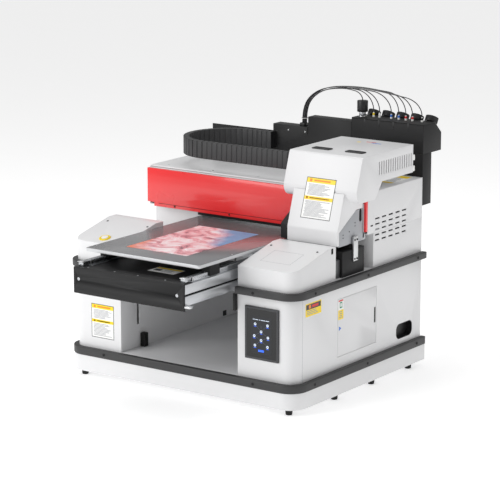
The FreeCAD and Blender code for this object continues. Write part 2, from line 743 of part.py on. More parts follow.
def make_station():
    """Capping station on the right deck: a box, its rubber caps, a waste tank and a side bracket."""
    x = (across("head_x"), across(f"{cabinet_right} - 2"))
    y = (along("station_front"), along("station_back"))
    outer = block("station_outer", x, y, ("deck", "station_top"))
    core = block("station_core", (across("head_x + station_wall"), across(f"{cabinet_right} - 2 - station_wall")),
                 (along("station_front + station_wall"), along("station_back - station_wall")),
                 ("deck + station_wall", "station_top - station_wall"))
    bar = block("bracket_bar", (across(f"{cabinet_right} - 2"), across(f"{cabinet_right} + 6")),
                (along("station_front + 68"), along("station_front + 98")),
                ("station_top - 45", "station_top + 50"))
    node("capping_station", group("station_and_bracket", cut("station", outer, core), bar))
    pads = []
    for k in range(3):
        low = f"head_x + 40 + {k} * 50"
        pads.append(block("pad", (across(f"{low} + 2"), across(f"{low} + 42")),
                          (along("head_front + 64"), along("head_front + 150")),
                          ("station_top", "nozzle_z - gap")))
    node("capping_pads", group("pads", *pads))
    node("waste_tank", block("waste", (across("head_x + 30"), across(f"{cabinet_right} - 12")),
                             (along("station_front - 34"), along("station_front")), ("deck", "deck + 72")))


def make_rear():
    """Black rear panel with its cable duct, the ink tank box, its lid, caps, fittings and stirrer."""
    y = (along("rear_face"), along("rear_face + panel_thick"))
    low_part = block("panel_left_part", (across("panel_left"), across("tank_left")), y, ("panel_low", "panel_top"))
    leg_l = block("panel_tank_part", (across("tank_left"), across(cabinet_right)), y, ("panel_low", "tank_low"))
    duct_x = (across("duct_left"), across("duct_right"))
    duct_face = block("duct_face", duct_x, y, ("panel_top", "duct_top"))
    duct = block("duct", duct_x, (along("rear_face + panel_thick"), along("rear_face + duct_depth")),
                 ("tank_low - 20", "duct_top"))
    duct_core = block("duct_core", (across("duct_left + wall"), across("duct_right - wall")),
                      (along("rear_face + panel_thick"), along("rear_face + duct_depth - wall")),
                      ("tank_low - 21", "duct_top - wall"))
    step = block("panel_step", (across("step_left"), across("tank_left")), y, ("panel_top", "step_top"))
    step_top = block("panel_step_top", (across("step_left"), across("tank_left")),
                     (along("rear_face"), along("rear_face + duct_depth")), ("step_top - wall", "step_top"))
    leg = block("panel_side_leg", (across(f"{cabinet_right} - wall"), across(cabinet_right)),
                (along("rear_face"), along("rear_face + 66")), ("panel_low", "tank_low"))
    chain_tab = block("chain_tab", (across("chain_fixed_x - 24"), across("chain_fixed_x")),
                      (along("chain_back"), along("rear_face")), ("chain_low", "chain_high"))
    link = block("panel_join", (across("duct_right"), across("step_left")), y, ("panel_top - 5", "panel_top"))
    panel = fuse("panel_solid", low_part, leg_l, duct_face, duct, step, step_top, leg, chain_tab, link)
    node("rear_panel", cut("panel", panel, duct_core))

    def tank_profile(inset, top):
        return [(f"rear_face + {inset}", f"tank_low + {inset}"), (f"rear_face + {inset}", top),
                (f"tank_slope_start - {inset} / 2", top), (f"tank_rear - {inset}", f"tank_rear_top - {inset} / 2"),
                (f"tank_rear - {inset}", f"tank_low + {inset}")]

    ends = (across("tank_left"), across(cabinet_right))
    shell = side_profile("tank_outer", tank_profile("0", "tank_top"), *ends)
    core = side_profile("tank_core", tank_profile("wall", "tank_top - wall"), across("tank_left + wall"),
                        across(f"{cabinet_right} - wall"))
    node("ink_tank_housing", cut("tank", shell, core))
    node("ink_tank_lid", block("lid", ends, (along("rear_face"), along("tank_slope_start")),
                               ("tank_top", "tank_top + lid_thick")))
    pitch = f"({cabinet_right} - tank_left) / 5"
    necks = []
    for k in range(5):
        x = across(f"tank_left + ({k} + 0.5) * {pitch}")
        node(f"ink_cap_{k + 1}", cap_rod(f"cap_{k + 1}", x, "cap_radius", "gap", "cap_height"))
        necks.append(cut("cap_neck", cap_rod("cap_neck_rod", x, "cap_neck_radius", "-cap_neck_depth", "cap_neck_depth"),
                         shell))
    fittings = [rod("fitting", across(x), along("fitting_y"), "tank_top + lid_thick", "fitting_radius",
                    "fitting_height") for x in fitting_places]
    node("tube_fittings", group("fittings", *fittings, *necks))
    base = rod("stirrer_foot", across("stirrer_x"), along("stirrer_y"), "tank_top + lid_thick",
               "stirrer_radius - 6", "stirrer_base")
    motor = rod("stirrer_can", across("stirrer_x"), along("stirrer_y"), "tank_top + lid_thick + stirrer_base",
                "stirrer_radius", "stirrer_height")
    node("stirrer_motor", fuse("stirrer", base, motor))


fitting_places = ("814", "842", "897", "932", "965", "996", "1040")


def cap_rod(label, x, radius, start, length):
    """A rod on the tilted axis of an ink cap and its neck."""
    obj = doc.addObject("Part::Cylinder", label)
    bind(obj, "Radius", radius)
    bind(obj, "Height", length)
    place(obj, x, along(f"cap_y + ({start}) * sin(cap_tilt * 1 deg)"),
          f"cap_low + ({start}) * cos(cap_tilt * 1 deg)", FreeCAD.Rotation(FreeCAD.Vector(-1, 0, 0), 10))
    bind(obj, "Placement.Rotation.Angle", "cap_tilt * 1 deg")
    return obj


def rounded_route(points):
    """Straight runs joined by tangent arcs as large as each pair of runs allows."""
    edges = []
    here = points[0]
    radii = []
    for before, corner, after in zip(points, points[1:], points[2:]):
        back = (before - corner).normalize()
        ahead = (after - corner).normalize()
        turn = math.pi - back.getAngle(ahead)
        reach = 0.45 * min((before - corner).Length, (after - corner).Length)
        radii.append(reach / math.tan(turn / 2))
        start = corner + back * reach
        end = corner + ahead * reach
        middle = corner + (back + ahead).normalize() * (radii[-1] / math.cos(turn / 2) - radii[-1])
        edges.append(Part.LineSegment(here, start).toShape())
        edges.append(Part.Arc(start, middle, end).toShape())
        here = end
    edges.append(Part.LineSegment(here, points[-1]).toShape())
    return Part.Wire(edges), min(radii)


# The tubes rise from the duct, cross over the rear of the machine and drop to their fittings.
# Distances are from the left bumper, from the front bumper and from the floor.
tube_rise = [(493, 950, 918), (493, 950, 946), (495, 951, 980), (506, 953, 1018), (533, 956, 1050),
             (572, 959, 1074), (622, 962, 1088), (684, 965, 1094), (752, 967, 1096), (820, 969, 1092),
             (884, 970, 1085), (940, 971, 1078), (990, 972, 1069)]
tube_drops = [(770, 960, 1046, 8), (814, 975, 1000, 8), (842, 975, 1000, 9), (897, 975, 1000, 9),
              (932, 975, 1000, 10), (965, 975, 1000, 10), (996, 975, 1000, 11), (1040, 975, 1000, 12)]
tube_lanes = (0, 3, 2, 1, 3, 2, 1, 0)
lane_pitch = 6.5
drop_steps = 2.1
drop_bend = 1.37
drop_dip = 6
approach_dip = 2


def tube_points(number):
    """Route of one tube: its lane of the common rise, then its own drop."""
    x, y, z, shared = tube_drops[number]
    side = (tube_lanes[number] - 1.5) * lane_pitch
    under = lane_pitch if number < 4 else 0
    route = []
    for k in range(shared):
        before = tube_rise[max(k - 1, 0)]
        after = tube_rise[k + 1]
        reach = math.dist((before[0], before[2]), (after[0], after[2]))
        px, py, pz = tube_rise[k]
        route.append((px + under * (after[2] - before[2]) / reach, py + side,
                      pz - under * (after[0] - before[0]) / reach))
    route[0] = (route[0][0], route[0][1], tube_rise[0][2])
    last = route[-1]
    step = (last[2] - z) / drop_steps
    bend = step * drop_bend
    top = last[2] - drop_dip
    if x - bend - last[0] > step * 1.5:
        route.append(((last[0] + x - bend) / 2, last[1], last[2] - approach_dip))
    route.append((x - bend, last[1], top))
    route.append((x - step / 2, (last[1] + y) / 2, top - step / 2))
    route.append((x, y, top - bend))
    route.append((x, y, z))
    return [FreeCAD.Vector(size("left") + px, size("front") + py, pz) for px, py, pz in route]


def make_tubes():
    """Eight ink tubes from the duct to the stirrer and the fittings."""
    tubes = []
    for number in range(len(tube_drops)):
        route, tightest = rounded_route(tube_points(number))
        start = route.Edges[0]
        direction = start.tangentAt(start.FirstParameter)
        ring = Part.Wire([Part.Circle(start.Vertexes[0].Point, direction, size("tube_radius")).toShape()])
        tube = route.makePipeShell([ring], True, False)
        share = tube.Volume / (math.pi * size("tube_radius") ** 2 * route.Length)
        print(f"tube {number + 1}: length {route.Length:.1f}, tightest bend {tightest:.1f}, volume share {share:.4f}")
        tubes.append(tube)
    obj = doc.addObject("Part::Feature", "tubes")
    obj.Shape = Part.makeCompound(tubes)
    node("ink_tubes", obj)


def make_chain():
    """Drag chain on its side: a run to the rear panel, a half-circle bend and a run to the hood."""
    z = ("chain_low", "chain_high")
    middle = "((chain_front + chain_back) / 2)"
    radius = "((chain_back - chain_front) / 2)"
    node("chain_fixed_run", block("far_run", (across("chain_bend_x + gap"), across("chain_fixed_x")),
                                  (along("chain_back - chain_thick"), along("chain_back")), z))
    node("chain_moving_run", block("near_run", (across("chain_bend_x + gap"), across("hood_x")),
                                   (along("chain_front"), along("chain_front + chain_thick")), z))
    outer = rod("bend_outer", across("chain_bend_x"), along(middle), z[0], radius, f"{z[1]} - {z[0]}")
    inner = rod("bend_inner", across("chain_bend_x"), along(middle), f"{z[0]} - 1", f"{radius} - chain_thick",
                f"{z[1]} - {z[0]} + 2")
    half = block("bend_half", (across("chain_bend_x"), across(f"chain_bend_x + {radius} + 1")),
                 (along("chain_front - 1"), along("chain_back + 1")), ("chain_low - 1", "chain_high + 1"))
    node("chain_bend", cut("bend", outer, inner, half))


def make_bed():
    """The bed that lifts: front plate, side bars, cross bars, rails, screw and its motor."""
    right = "(bed_x + bed_width)"
    face = block("bed_face", (across("bed_x"), across(right)), (along("-bed_out"), along("-bed_out + bed_plate_thick")),
                 ("bed_plate_low", "bed_top + bed_plate_thick / 2"))
    flange = block("bed_flange_top", (across("bed_x"), across(right)), (along("-bed_out"), along("-bed_out + bed_flange")),
                   ("bed_top", "bed_top + bed_plate_thick / 2"))
    node("bed_front_plate", fuse("bed_front", face, flange))

    bars = []
    for low, groove in (("bed_x", "bed_x - 1"), (f"{right} - bed_bar", f"{right} - 6")):
        y = (along("-bed_out + bed_plate_thick"), along("bed_back"))
        bar = block("bed_bar_box", (across(low), across(f"{low} + bed_bar")), y, ("bed_low", "bed_top"))
        middle = "(bed_low + bed_top) / 2"
        slot = block("bed_bar_slot", (across(groove), across(f"{groove} + 7")),
                     (along("-bed_out"), along("bed_back + 1")),
                     (f"{middle} - bed_groove / 2", f"{middle} + bed_groove / 2"))
        bars.append(cut("bed_bar_cut", bar, slot))
    for y in ("-bed_out + bed_plate_thick", "140", "500", "bed_back - cross_width"):
        bars.append(block("cross_bar", (across("bed_x + bed_bar"), across(f"{right} - bed_bar")),
                          (along(y), along(f"{y} + cross_width")), ("bed_low", "bed_low + cross_height")))
    bearing = block("screw_bearing", (across(f"{bay_middle} - 25"), across(f"{bay_middle} + 25")),
                    (along("-bed_out + bed_plate_thick"), along("-bed_out + bed_plate_thick + 20")),
                    ("bed_low + cross_height", "y_screw_z + 22"))
    bore = rod("screw_bearing_bore", across(bay_middle), along("-bed_out"), "y_screw_z",
               "y_screw_radius + screw_play", "40", up_y)
    bars.append(cut("screw_bearing_cut", bearing, bore))
    node("bed_frame", group("bed_bars", *bars))

    rails = [block("y_rail", (across(f"{x} - y_rail_width / 2"), across(f"{x} + y_rail_width / 2")),
                   (along("-bed_out + bed_flange + 2"), along("bed_back - 4")),
                   ("bed_top", "bed_top + y_rail_height")) for x in rail_places]
    node("y_guide_rails", group("y_rails", *rails))
    node("y_screw", rod("y_screw_rod", across(bay_middle), along("-bed_out + bed_plate_thick + 2"), "y_screw_z",
                        "y_screw_radius", "bed_back + bed_out - bed_plate_thick - 8 - motor_length", up_y))
    half = "motor_side / 2"
    node("y_motor", block("y_motor_box", (across(f"{bay_middle} - {half}"), across(f"{bay_middle} + {half}")),
                          (along("bed_back - 5 - motor_length"), along("bed_back - 5")),
                          ("bed_low + cross_height", "bed_low + cross_height + motor_side")))


rail_places = ("bed_x + bed_bar / 2", "bed_x + bed_width - bed_bar / 2")


def make_platen():
    """The moving platen, its bearing blocks on the rails and the screw's nut."""
    corners = ("front_left", "front_right", "back_left", "back_right")
    node("platen", slab("platen_plate", (across("platen_x"), across("platen_x + platen_width")),
                        (along("-platen_out"), along("-platen_out + platen_length")),
                        ("platen_low", "platen_top"), "platen_radius", corners))
    pieces = []
    for x in rail_places:
        for y in ("-platen_out + block_front_inset", "-platen_out + platen_length - block_back_inset - block_length"):
            body = block("y_block", (across(f"{x} - 20"), across(f"{x} + 20")),
                         (along(y), along(f"{y} + block_length")), ("bed_top + 5", "platen_low"))
            slot = block("y_block_slot", (across(f"{x} - y_rail_width / 2 - gap"), across(f"{x} + y_rail_width / 2 + gap")),
                         (along(f"{y} - 1"), along(f"{y} + block_length + 1")),
                         ("bed_top", "bed_top + y_rail_height + gap"))
            pieces.append(cut("y_block_cut", body, slot))
    nut = block("y_nut", (across(f"{bay_middle} - 22"), across(f"{bay_middle} + 22")),
                (along("170"), along("210")), ("y_screw_z - 20", "platen_low"))
    bore = rod("y_nut_bore", across(bay_middle), along("169"), "y_screw_z", "y_screw_radius + screw_play", "42", up_y)
    pieces.append(cut("y_nut_cut", nut, bore))
    node("platen_bearing_blocks", group("platen_blocks", *pieces))


def make_lift():
    """Four lift screws in the cabinets, and the plates that carry the bed on their nuts."""
    names = ("left_front", "left_rear", "right_front", "right_rear")
    plates = []
    for name, (x, y) in zip(names, lift_places()):
        node("lift_screw_" + name, rod("lift_rod_" + name, across(x), along(y),
                                       "stand_floor + motor_length + gap", "lift_screw_radius",
                                       "deck - wall - 4 - stand_floor - motor_length"))
        is_left = name.startswith("left")
        plate_low = "bed_x - lift_plate_thick"
        side = (plate_low, "bed_x") if is_left else (mirrored("bed_x"), mirrored(plate_low))
        tongue = ("lift_screw_x", plate_low) if is_left else (mirrored(plate_low), mirrored("lift_screw_x"))
        plate = block("lift_plate", (across(side[0]), across(side[1])),
                      (along(f"{y} - lift_plate_width / 2"), along(f"{y} + lift_plate_width / 2")),
                      ("lift_plate_low", "lift_plate_high"))
        arm = block("lift_arm", (across(tongue[0]), across(tongue[1])),
                    (along(f"{y} - lift_tongue / 2"), along(f"{y} + lift_tongue / 2")),
                    ("lift_plate_low + 10", "upper_strip_low - 5"))
        nut = block("lift_nut", (across(f"{x} - 18"), across(f"{x} + 18")), (along(f"{y} - 18"), along(f"{y} + 18")),
                    ("lift_plate_low + 14", "lift_plate_low + 54"))
        bore = rod("lift_bore", across(x), along(y), "lift_plate_low - 1", "lift_screw_radius + screw_play", "90")
        plates.append(cut("lift_plate_cut", fuse("lift_plate_solid", plate, arm, nut), bore))
    node("lift_plates", group("lift_plates_all", *plates))


def make_electronics():
    """Tray behind the side door with the power supply and the control board."""
    x = "width - side_inset - 60"
    tray = block("tray", (across(f"{x} - 3"), across(x)), (along("door_y + 12"), along("door_y + door_width - 12")),
                 ("stand_floor", "door_z + door_height - 12"))
    supply = block("supply", (across(x), across(f"{x} + 24")), (along("door_y + 24"), along("door_y + 134")),
                   ("door_z + 20", "door_z + 120"))
    board = block("board", (across(x), across(f"{x} + 8")), (along("door_y + 146"), along("door_y + 256")),
                  ("door_z + 20", "door_z + 180"))
    node("electronics_tray", fuse("tray_all", tray, supply, board))


def make_screws():
    """Round-headed screws that hold the bumper strips and covers."""
    heads = []
    for z in ("(upper_strip_low + deck) / 2", "(plinth_step + stand_floor) / 2"):
        for y in ("130", "497", "864"):
            for x, turn in (("width", up_x), ("0", FreeCAD.Rotation(FreeCAD.Vector(0, 1, 0), -90))):
                heads.append(rod("strip_screw", across(x), along(y), z, "screw_head", "2", turn))
        for x in ("190", "905"):
            heads.append(rod("front_screw", across(x), along("0"), z, "screw_head", "2",
                             FreeCAD.Rotation(FreeCAD.Vector(1, 0, 0), 90)))
    node("casing_screws", group("screws", *heads))


make_stand()
make_door()
make_front_covers()
make_screen()
make_housing()
make_gantry()
make_motors()
make_head()
make_station()
make_rear()
make_tubes()
make_chain()
make_bed()
make_platen()
make_lift()
make_electronics()
make_screws()
doc.recompute()

for obj in doc.Objects:
    if "Invalid" in obj.State or "Error" in obj.State:
        raise RuntimeError(f"{obj.Label} failed: {obj.State}")
for obj in nodes:
    if obj.Shape.isNull() or not obj.Shape.isValid() or not obj.Shape.Solids:
        raise RuntimeError(f"{obj.Label} has no valid solid")
os.makedirs("parts", exist_ok=True)
whole = Part.makeCompound([obj.Shape for obj in nodes]).BoundBox
for obj in nodes:
    obj.Shape.exportStep(f"parts/{obj.Label}.step")
print(len(nodes), "pieces; box", [round(v, 2) for v in (whole.XMin, whole.XMax, whole.YMin, whole.YMax,
                                                          whole.ZMin, whole.ZMax)])
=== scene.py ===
# Flatbed UV printer: the finished looks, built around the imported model.
# Metres in the model's frame. at() takes millimetres from the left strip, the front strip and the floor.
import math
import random

import bpy
from mathutils import Matrix, Vector


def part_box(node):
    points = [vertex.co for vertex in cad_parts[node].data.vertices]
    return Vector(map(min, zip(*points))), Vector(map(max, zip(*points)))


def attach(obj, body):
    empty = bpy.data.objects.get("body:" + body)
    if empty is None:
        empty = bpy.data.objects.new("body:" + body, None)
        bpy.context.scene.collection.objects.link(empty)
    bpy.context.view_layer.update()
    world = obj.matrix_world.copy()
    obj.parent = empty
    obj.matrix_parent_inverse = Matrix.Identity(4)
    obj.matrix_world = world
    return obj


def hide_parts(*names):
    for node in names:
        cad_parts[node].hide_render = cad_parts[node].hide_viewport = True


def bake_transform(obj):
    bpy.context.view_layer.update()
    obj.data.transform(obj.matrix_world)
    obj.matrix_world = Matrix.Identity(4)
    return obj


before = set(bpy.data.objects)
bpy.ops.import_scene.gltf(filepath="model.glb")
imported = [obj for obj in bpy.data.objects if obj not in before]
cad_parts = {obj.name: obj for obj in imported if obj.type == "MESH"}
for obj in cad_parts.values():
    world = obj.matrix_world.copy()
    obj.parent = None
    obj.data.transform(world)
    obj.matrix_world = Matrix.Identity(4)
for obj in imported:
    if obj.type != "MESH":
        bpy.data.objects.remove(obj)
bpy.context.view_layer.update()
mm = 0.001
stripLow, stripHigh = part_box("lower_bumper_strip")


def at(x, y, z):
    return Vector((stripLow.x + x * mm, stripLow.y + y * mm, z * mm))


def places(node):  # a CAD node's lowest and highest corner, in at()'s millimetres
    return [tuple((c - at(0, 0, 0)) / mm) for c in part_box(node)]


# ---- colours, nodes and finishes

def linear(code):  # sRGB hex to the linear colour that the shader wants
    parts = [int(code[k:k + 2], 16) / 255 for k in (1, 3, 5)]
    return [p / 12.92 if p <= 0.04045 else ((p + 0.055) / 1.055) ** 2.4 for p in parts] + [1]


def addNode(tree, kind, inputs=None, **settings):
    node = tree.nodes.new("ShaderNode" + kind)
    for key, value in settings.items():
        setattr(node, key, value)
    for key, value in (inputs or {}).items():
        if isinstance(value, bpy.types.NodeSocket):
            tree.links.new(value, node.inputs[key])
        else:
            node.inputs[key].default_value = value
    return node


def addNoise(tree, where, scale, detail, **settings):
    given = {"Vector": where, "Scale": scale, "Detail": detail, **settings}
    return addNode(tree, "TexNoise", given).outputs["Fac"]


def remap(tree, value, low, high, **settings):
    given = {"Value": value, "From Min": low, "From Max": high, **settings}
    return addNode(tree, "MapRange", given).outputs[0]


def mixColour(tree, share, first, second):
    return addNode(tree, "Mix", {0: share, 6: first, 7: second}, data_type="RGBA").outputs[2]


def startFinish(name, shaderInputs):
    material = bpy.data.materials.new(name)
    material.use_nodes = True
    tree = material.node_tree
    tree.nodes.clear()
    shader = addNode(tree, "BsdfPrincipled", shaderInputs)
    addNode(tree, "OutputMaterial", {"Surface": shader.outputs[0]})
    where = addNode(tree, "TexCoord").outputs["Object"]
    return material, tree, shader, where


def finish(name, code, roughness, grain, depth, tone=0.04, stretch=(1, 1, 1), uneven=0.06, **shaderInputs):
    # grain is the size of the surface's texture in mm, depth its height in mm, and stretch draws it out
    given = {key.replace("_", " "): value for key, value in shaderInputs.items()}
    material, tree, shader, where = startFinish(name, given)
    base = linear(code)
    dark = [c * (1 - tone) for c in base[:3]] + [1]
    light = [min(1, c * (1 + tone)) for c in base[:3]] + [1]
    drawn = addNode(tree, "Mapping", {"Vector": where, "Scale": stretch}).outputs[0]
    broad = addNoise(tree, drawn, 5.0, 3.0)
    fine = addNoise(tree, drawn, 1000 / grain, 2.0)
    both = addNode(tree, "Math", {0: broad, 1: fine}, operation="ADD").outputs[0]
    mix = remap(tree, both, 0.7, 1.3)
    shade = mixColour(tree, mix, dark, light)
    smoothest, roughest = roughness - uneven / 2, roughness + uneven / 2
    sheen = remap(tree, broad, 0.3, 0.7, **{"To Min": smoothest, "To Max": roughest})
    bump = addNode(tree, "Bump", {"Height": fine, "Strength": 0.5, "Distance": depth * mm}).outputs[0]
    for socket, value in (("Base Color", shade), ("Roughness", sheen), ("Normal", bump)):
        tree.links.new(value, shader.inputs[socket])
    return material


def ink(colour, code, roughness=0.4, tone=0.03):
    return finish(f"{colour} sticker ink", code, roughness, 3.0, 0.003, tone=tone)


# Powder coat on steel: fine orange peel and a soft sheen. The real peel is about 0.6 mm; 2.5 mm shows.
whiteCoat = finish("white powder-coated steel", "#E4E4E5", 0.38, 2.5, 0.03, tone=0.015, Coat_Weight=0.15,
                   Coat_Roughness=0.25)
greyCoat = finish("grey powder-coated steel", "#A9ABAF", 0.42, 2.5, 0.03, tone=0.02)
blackCoat = finish("black sand-texture powder coat", "#171718", 0.5, 1.6, 0.06, tone=0.08,
                   Specular_IOR_Level=0.32)
# Red panel: sprayed gloss under a clear coat, so its highlights stay sharp over a soft base.
redGloss = finish("red gloss lacquer", "#EE1C20", 0.3, 3.0, 0.015, tone=0.02, Coat_Weight=0.7,
                  Coat_Roughness=0.08)
# Extruded PVC bumper: dull and faintly drawn out along its run.
bumperPvc = finish("extruded grey PVC", "#343435", 0.5, 2.0, 0.05, tone=0.06)
blackAbs = finish("moulded black ABS", "#1B1B1D", 0.42, 1.2, 0.04, tone=0.1)
greyAbs = finish("moulded grey ABS", "#3A3B3E", 0.4, 1.2, 0.03, tone=0.05)
chainNylon = finish("glass-filled black nylon", "#333334", 0.55, 1.5, 0.06, tone=0.1)
footRubber = finish("moulded rubber", "#161616", 0.75, 1.5, 0.1, tone=0.12)
siliconePad = finish("black silicone", "#242424", 0.6, 2.0, 0.05, tone=0.08)
# Extrusions are drawn through a die, so their fine lines run along the bed, on Y.
drawnAluminium = finish("clear-anodised extruded aluminium", "#C9CBCE", 0.34, 4.0, 0.02, tone=0.05,
                        stretch=(8, 0.15, 8), Metallic=0.85)
milledAluminium = finish("milled aluminium", "#BFC1C4", 0.36, 3.0, 0.02, tone=0.05, stretch=(0.2, 6, 6),
                         Metallic=0.85)
groundSteel = finish("ground bearing steel", "#B9BBBE", 0.22, 4.0, 0.01, tone=0.05, stretch=(6, 0.2, 6),
                     Metallic=0.95)
zincSteel = finish("bright zinc-plated steel", "#D4D5D6", 0.28, 1.5, 0.02, tone=0.06, Metallic=0.95)
blackOxide = finish("black-oxide steel", "#1A1A1B", 0.38, 1.0, 0.02, tone=0.1, Metallic=0.4)
whiteVinyl = finish("white vinyl sticker", "#F5F5F3", 0.35, 3.0, 0.005, tone=0.01)
yellowVinyl = finish("yellow vinyl sticker", "#FFDD1C", 0.35, 3.0, 0.005, tone=0.02)
orangeInk = ink("orange", "#F08A1E")
greyInk = ink("grey", "#9FA1A6", 0.45, 0.04)
darkInk = ink("dark", "#3C3E42", 0.45, 0.05)
greenInk = ink("green", "#1F8F6A")
blueInk = ink("blue", "#2E74D6")
redInk = ink("red", "#D8312E")
buttonWhite = finish("moulded white ABS", "#F1F1EE", 0.3, 2.0, 0.01, tone=0.01)
yellowAbs = finish("moulded yellow ABS", "#F3D414", 0.35, 2.0, 0.01, tone=0.03)
boardGreen = finish("green solder mask", "#1D5B37", 0.35, 1.5, 0.02, tone=0.12)
# Painted shade: a near-black sheet set into gaps, slots and holes where only shade falls.
paintedGapShade = finish("shadowed gap", "#0B0B0C", 0.9, 2.0, 0.01, tone=0.05)
# Smoked polypropylene tank: cloudy grey that lets a little light through.
smokedTank = finish("smoked polypropylene", "#5A5B5E", 0.35, 3.0, 0.02, tone=0.1, Transmission_Weight=0.25,
                    IOR=1.49)
# Polyurethane ink tube: glossy, dark with ink.
inkTube = finish("polyurethane tube full of ink", "#1D1D20", 0.2, 3.0, 0.005, tone=0.2, Coat_Weight=0.4,
                 Coat_Roughness=0.1)
screenBlack = finish("black screen glass", "#08090C", 0.12, 6.0, 0.002, tone=0.1, uneven=0.02)
displayBlack = finish("dark screen picture", "#12151C", 0.3, 6.0, 0.001, tone=0.1)
iconWhite = finish("lit screen white", "#DDE6F2", 0.3, 3.0, 0.001, tone=0.02, Emission_Strength=0.4,
                   Emission_Color=linear("#C8D8F0"))
iconBlue = finish("lit screen blue", "#2F6BFF", 0.3, 3.0, 0.001, tone=0.02, Emission_Strength=0.5,
                  Emission_Color=linear("#2F6BFF"))
iconGrey = finish("dim screen line", "#6E7888", 0.3, 3.0, 0.001, tone=0.02)


def platenFinish():
    # Hard-anodised plate: dull grey on top, bright where its edges were milled.
    material, tree, shader, where = startFinish("hard-anodised aluminium plate", {"Metallic": 0.35})
    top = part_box("platen")[1].z
    height = addNode(tree, "SeparateXYZ", {0: where}).outputs["Z"]
    onTop = remap(tree, height, top - 0.6 * mm, top - 0.3 * mm)
    fine = addNoise(tree, where, 500.0, 3.0)
    broad = addNoise(tree, where, 6.0, 2.0)
    tone = mixColour(tree, broad, linear("#818183"), linear("#8A8A8C"))
    speck = mixColour(tree, fine, tone, linear("#939396"))
    shade = mixColour(tree, onTop, linear("#D2D3D5"), speck)
    sheen = addNode(tree, "MapRange", {"Value": onTop, "To Min": 0.28, "To Max": 0.2}).outputs[0]
    bump = addNode(tree, "Bump", {"Height": fine, "Strength": 0.4, "Distance": 0.03 * mm}).outputs[0]
    for socket, value in (("Base Color", shade), ("Roughness", sheen), ("Normal", bump)):
        tree.links.new(value, shader.inputs[socket])
    return material


sheetPlace = {"low": (390, -100), "high": (675, 366), "thick": 0.4}


def printFinish():
    # Cured UV ink on film: an abstract of soft washes, with a low relief where the ink is thick.
    material, tree, shader, where = startFinish("cured UV ink on film", {"Roughness": 0.35})
    (x0, y0), (x1, y1) = sheetPlace["low"], sheetPlace["high"]
    low, high = at(x0, y0, 0), at(x1, y1, 0)
    span = high - low
    centred = addNode(tree, "Mapping", {"Vector": where, "Location": [-low.x / span.x, -low.y / span.y, 0],
                                        "Scale": [1 / span.x, 1 / span.y, 1]}).outputs[0]
    spot = addNode(tree, "SeparateXYZ", {0: centred})
    right, back = spot.outputs["X"], spot.outputs["Y"]
    swirl = addNoise(tree, where, 11.0, 9.0, Roughness=0.65, Distortion=1.2)
    wash = addNoise(tree, where, 5.0, 4.0, Distortion=0.6)
    ramp = addNode(tree, "ValToRGB", {0: swirl})
    stops = [(0.34, "#5E6068"), (0.41, "#C98A94"), (0.48, "#F0B4BA"), (0.55, "#F8DDE1"), (0.64, "#FFFFFF")]
    ramp.color_ramp.elements[0].position = stops[0][0]
    ramp.color_ramp.elements[1].position = stops[-1][0]
    for position, _ in stops[1:-1]:
        ramp.color_ramp.elements.new(position)
    for element, (_, code) in zip(ramp.color_ramp.elements, stops):
        element.color = linear(code)
    ramp = ramp.outputs[0]
    # blue washes into the back right, orange into the left front
    corner = addNode(tree, "Math", {0: right, 1: back}, operation="ADD").outputs[0]
    ragged = addNode(tree, "Math", {0: corner, 1: wash}, operation="ADD").outputs[0]
    blueShare = remap(tree, ragged, 1.75, 2.05)
    blue = mixColour(tree, swirl, linear("#2A6FA8"), linear("#7CC4E8"))
    withBlue = mixColour(tree, blueShare, ramp, blue)
    leftFront = addNode(tree, "Math", {0: corner, 1: wash}, operation="SUBTRACT").outputs[0]
    orangeShare = remap(tree, leftFront, -0.05, -0.3)
    shade = mixColour(tree, orangeShare, withBlue, linear("#F4805C"))
    bump = addNode(tree, "Bump", {"Height": swirl, "Strength": 0.3, "Distance": 0.05 * mm}).outputs[0]
    tree.links.new(shade, shader.inputs["Base Color"])
    tree.links.new(bump, shader.inputs["Normal"])
    return material


# ---- modelling helpers

def pick(obj):
    bpy.ops.object.select_all(action="DESELECT")
    obj.select_set(True)
    bpy.context.view_layer.objects.active = obj
    return obj


def switchMode(mode):
    bpy.ops.object.mode_set(mode=mode)


def editAll():
    switchMode("EDIT")
    bpy.ops.mesh.select_all(action="SELECT")


def applyModifier(obj, kind, **settings):
    pick(obj)
    modifier = obj.modifiers.new("step", kind)
    for key, value in settings.items():
        setattr(modifier, key, value)
    bpy.ops.object.modifier_apply(modifier=modifier.name)


def smooth(obj, angle=38):
    pick(obj)
    bpy.ops.object.shade_smooth_by_angle(angle=math.radians(angle))
    return obj


def roundEdges(obj, width, segments=2, angle=30):
    applyModifier(obj, "BEVEL", width=width * mm, segments=segments, limit_method="ANGLE",
                  angle_limit=math.radians(angle))
    return smooth(obj)


def dress(obj, *materials):
    obj.data.materials.clear()
    for material in materials:
        obj.data.materials.append(material)
    return obj


def placeMesh(obj):  # the place goes into the mesh, and the object sits at the origin
    pick(obj)
    bpy.ops.object.transform_apply(location=True, rotation=True, scale=True)
    return obj


def addBlock(name, low, high, material, bevel=1.0, segments=2):
    a, b = at(*low), at(*high)
    bpy.ops.mesh.primitive_cube_add(size=1, location=(a + b) / 2, scale=b - a)
    obj = bpy.context.object
    obj.name = name
    placeMesh(obj)
    roundEdges(obj, bevel, segments)
    return dress(obj, material)


def addDisc(name, start, axis, radius, depth, material, bevel=0.8, vertices=40):
    axis = Vector(axis).normalized()
    bpy.ops.mesh.primitive_cylinder_add(vertices=vertices, radius=radius * mm, depth=depth * mm,
                                        location=at(*start) + axis * depth * mm / 2,
                                        rotation=axis.to_track_quat("Z", "Y").to_euler())
    obj = bpy.context.object
    obj.name = name
    placeMesh(obj)
    roundEdges(obj, bevel, 2)
    return dress(obj, material)


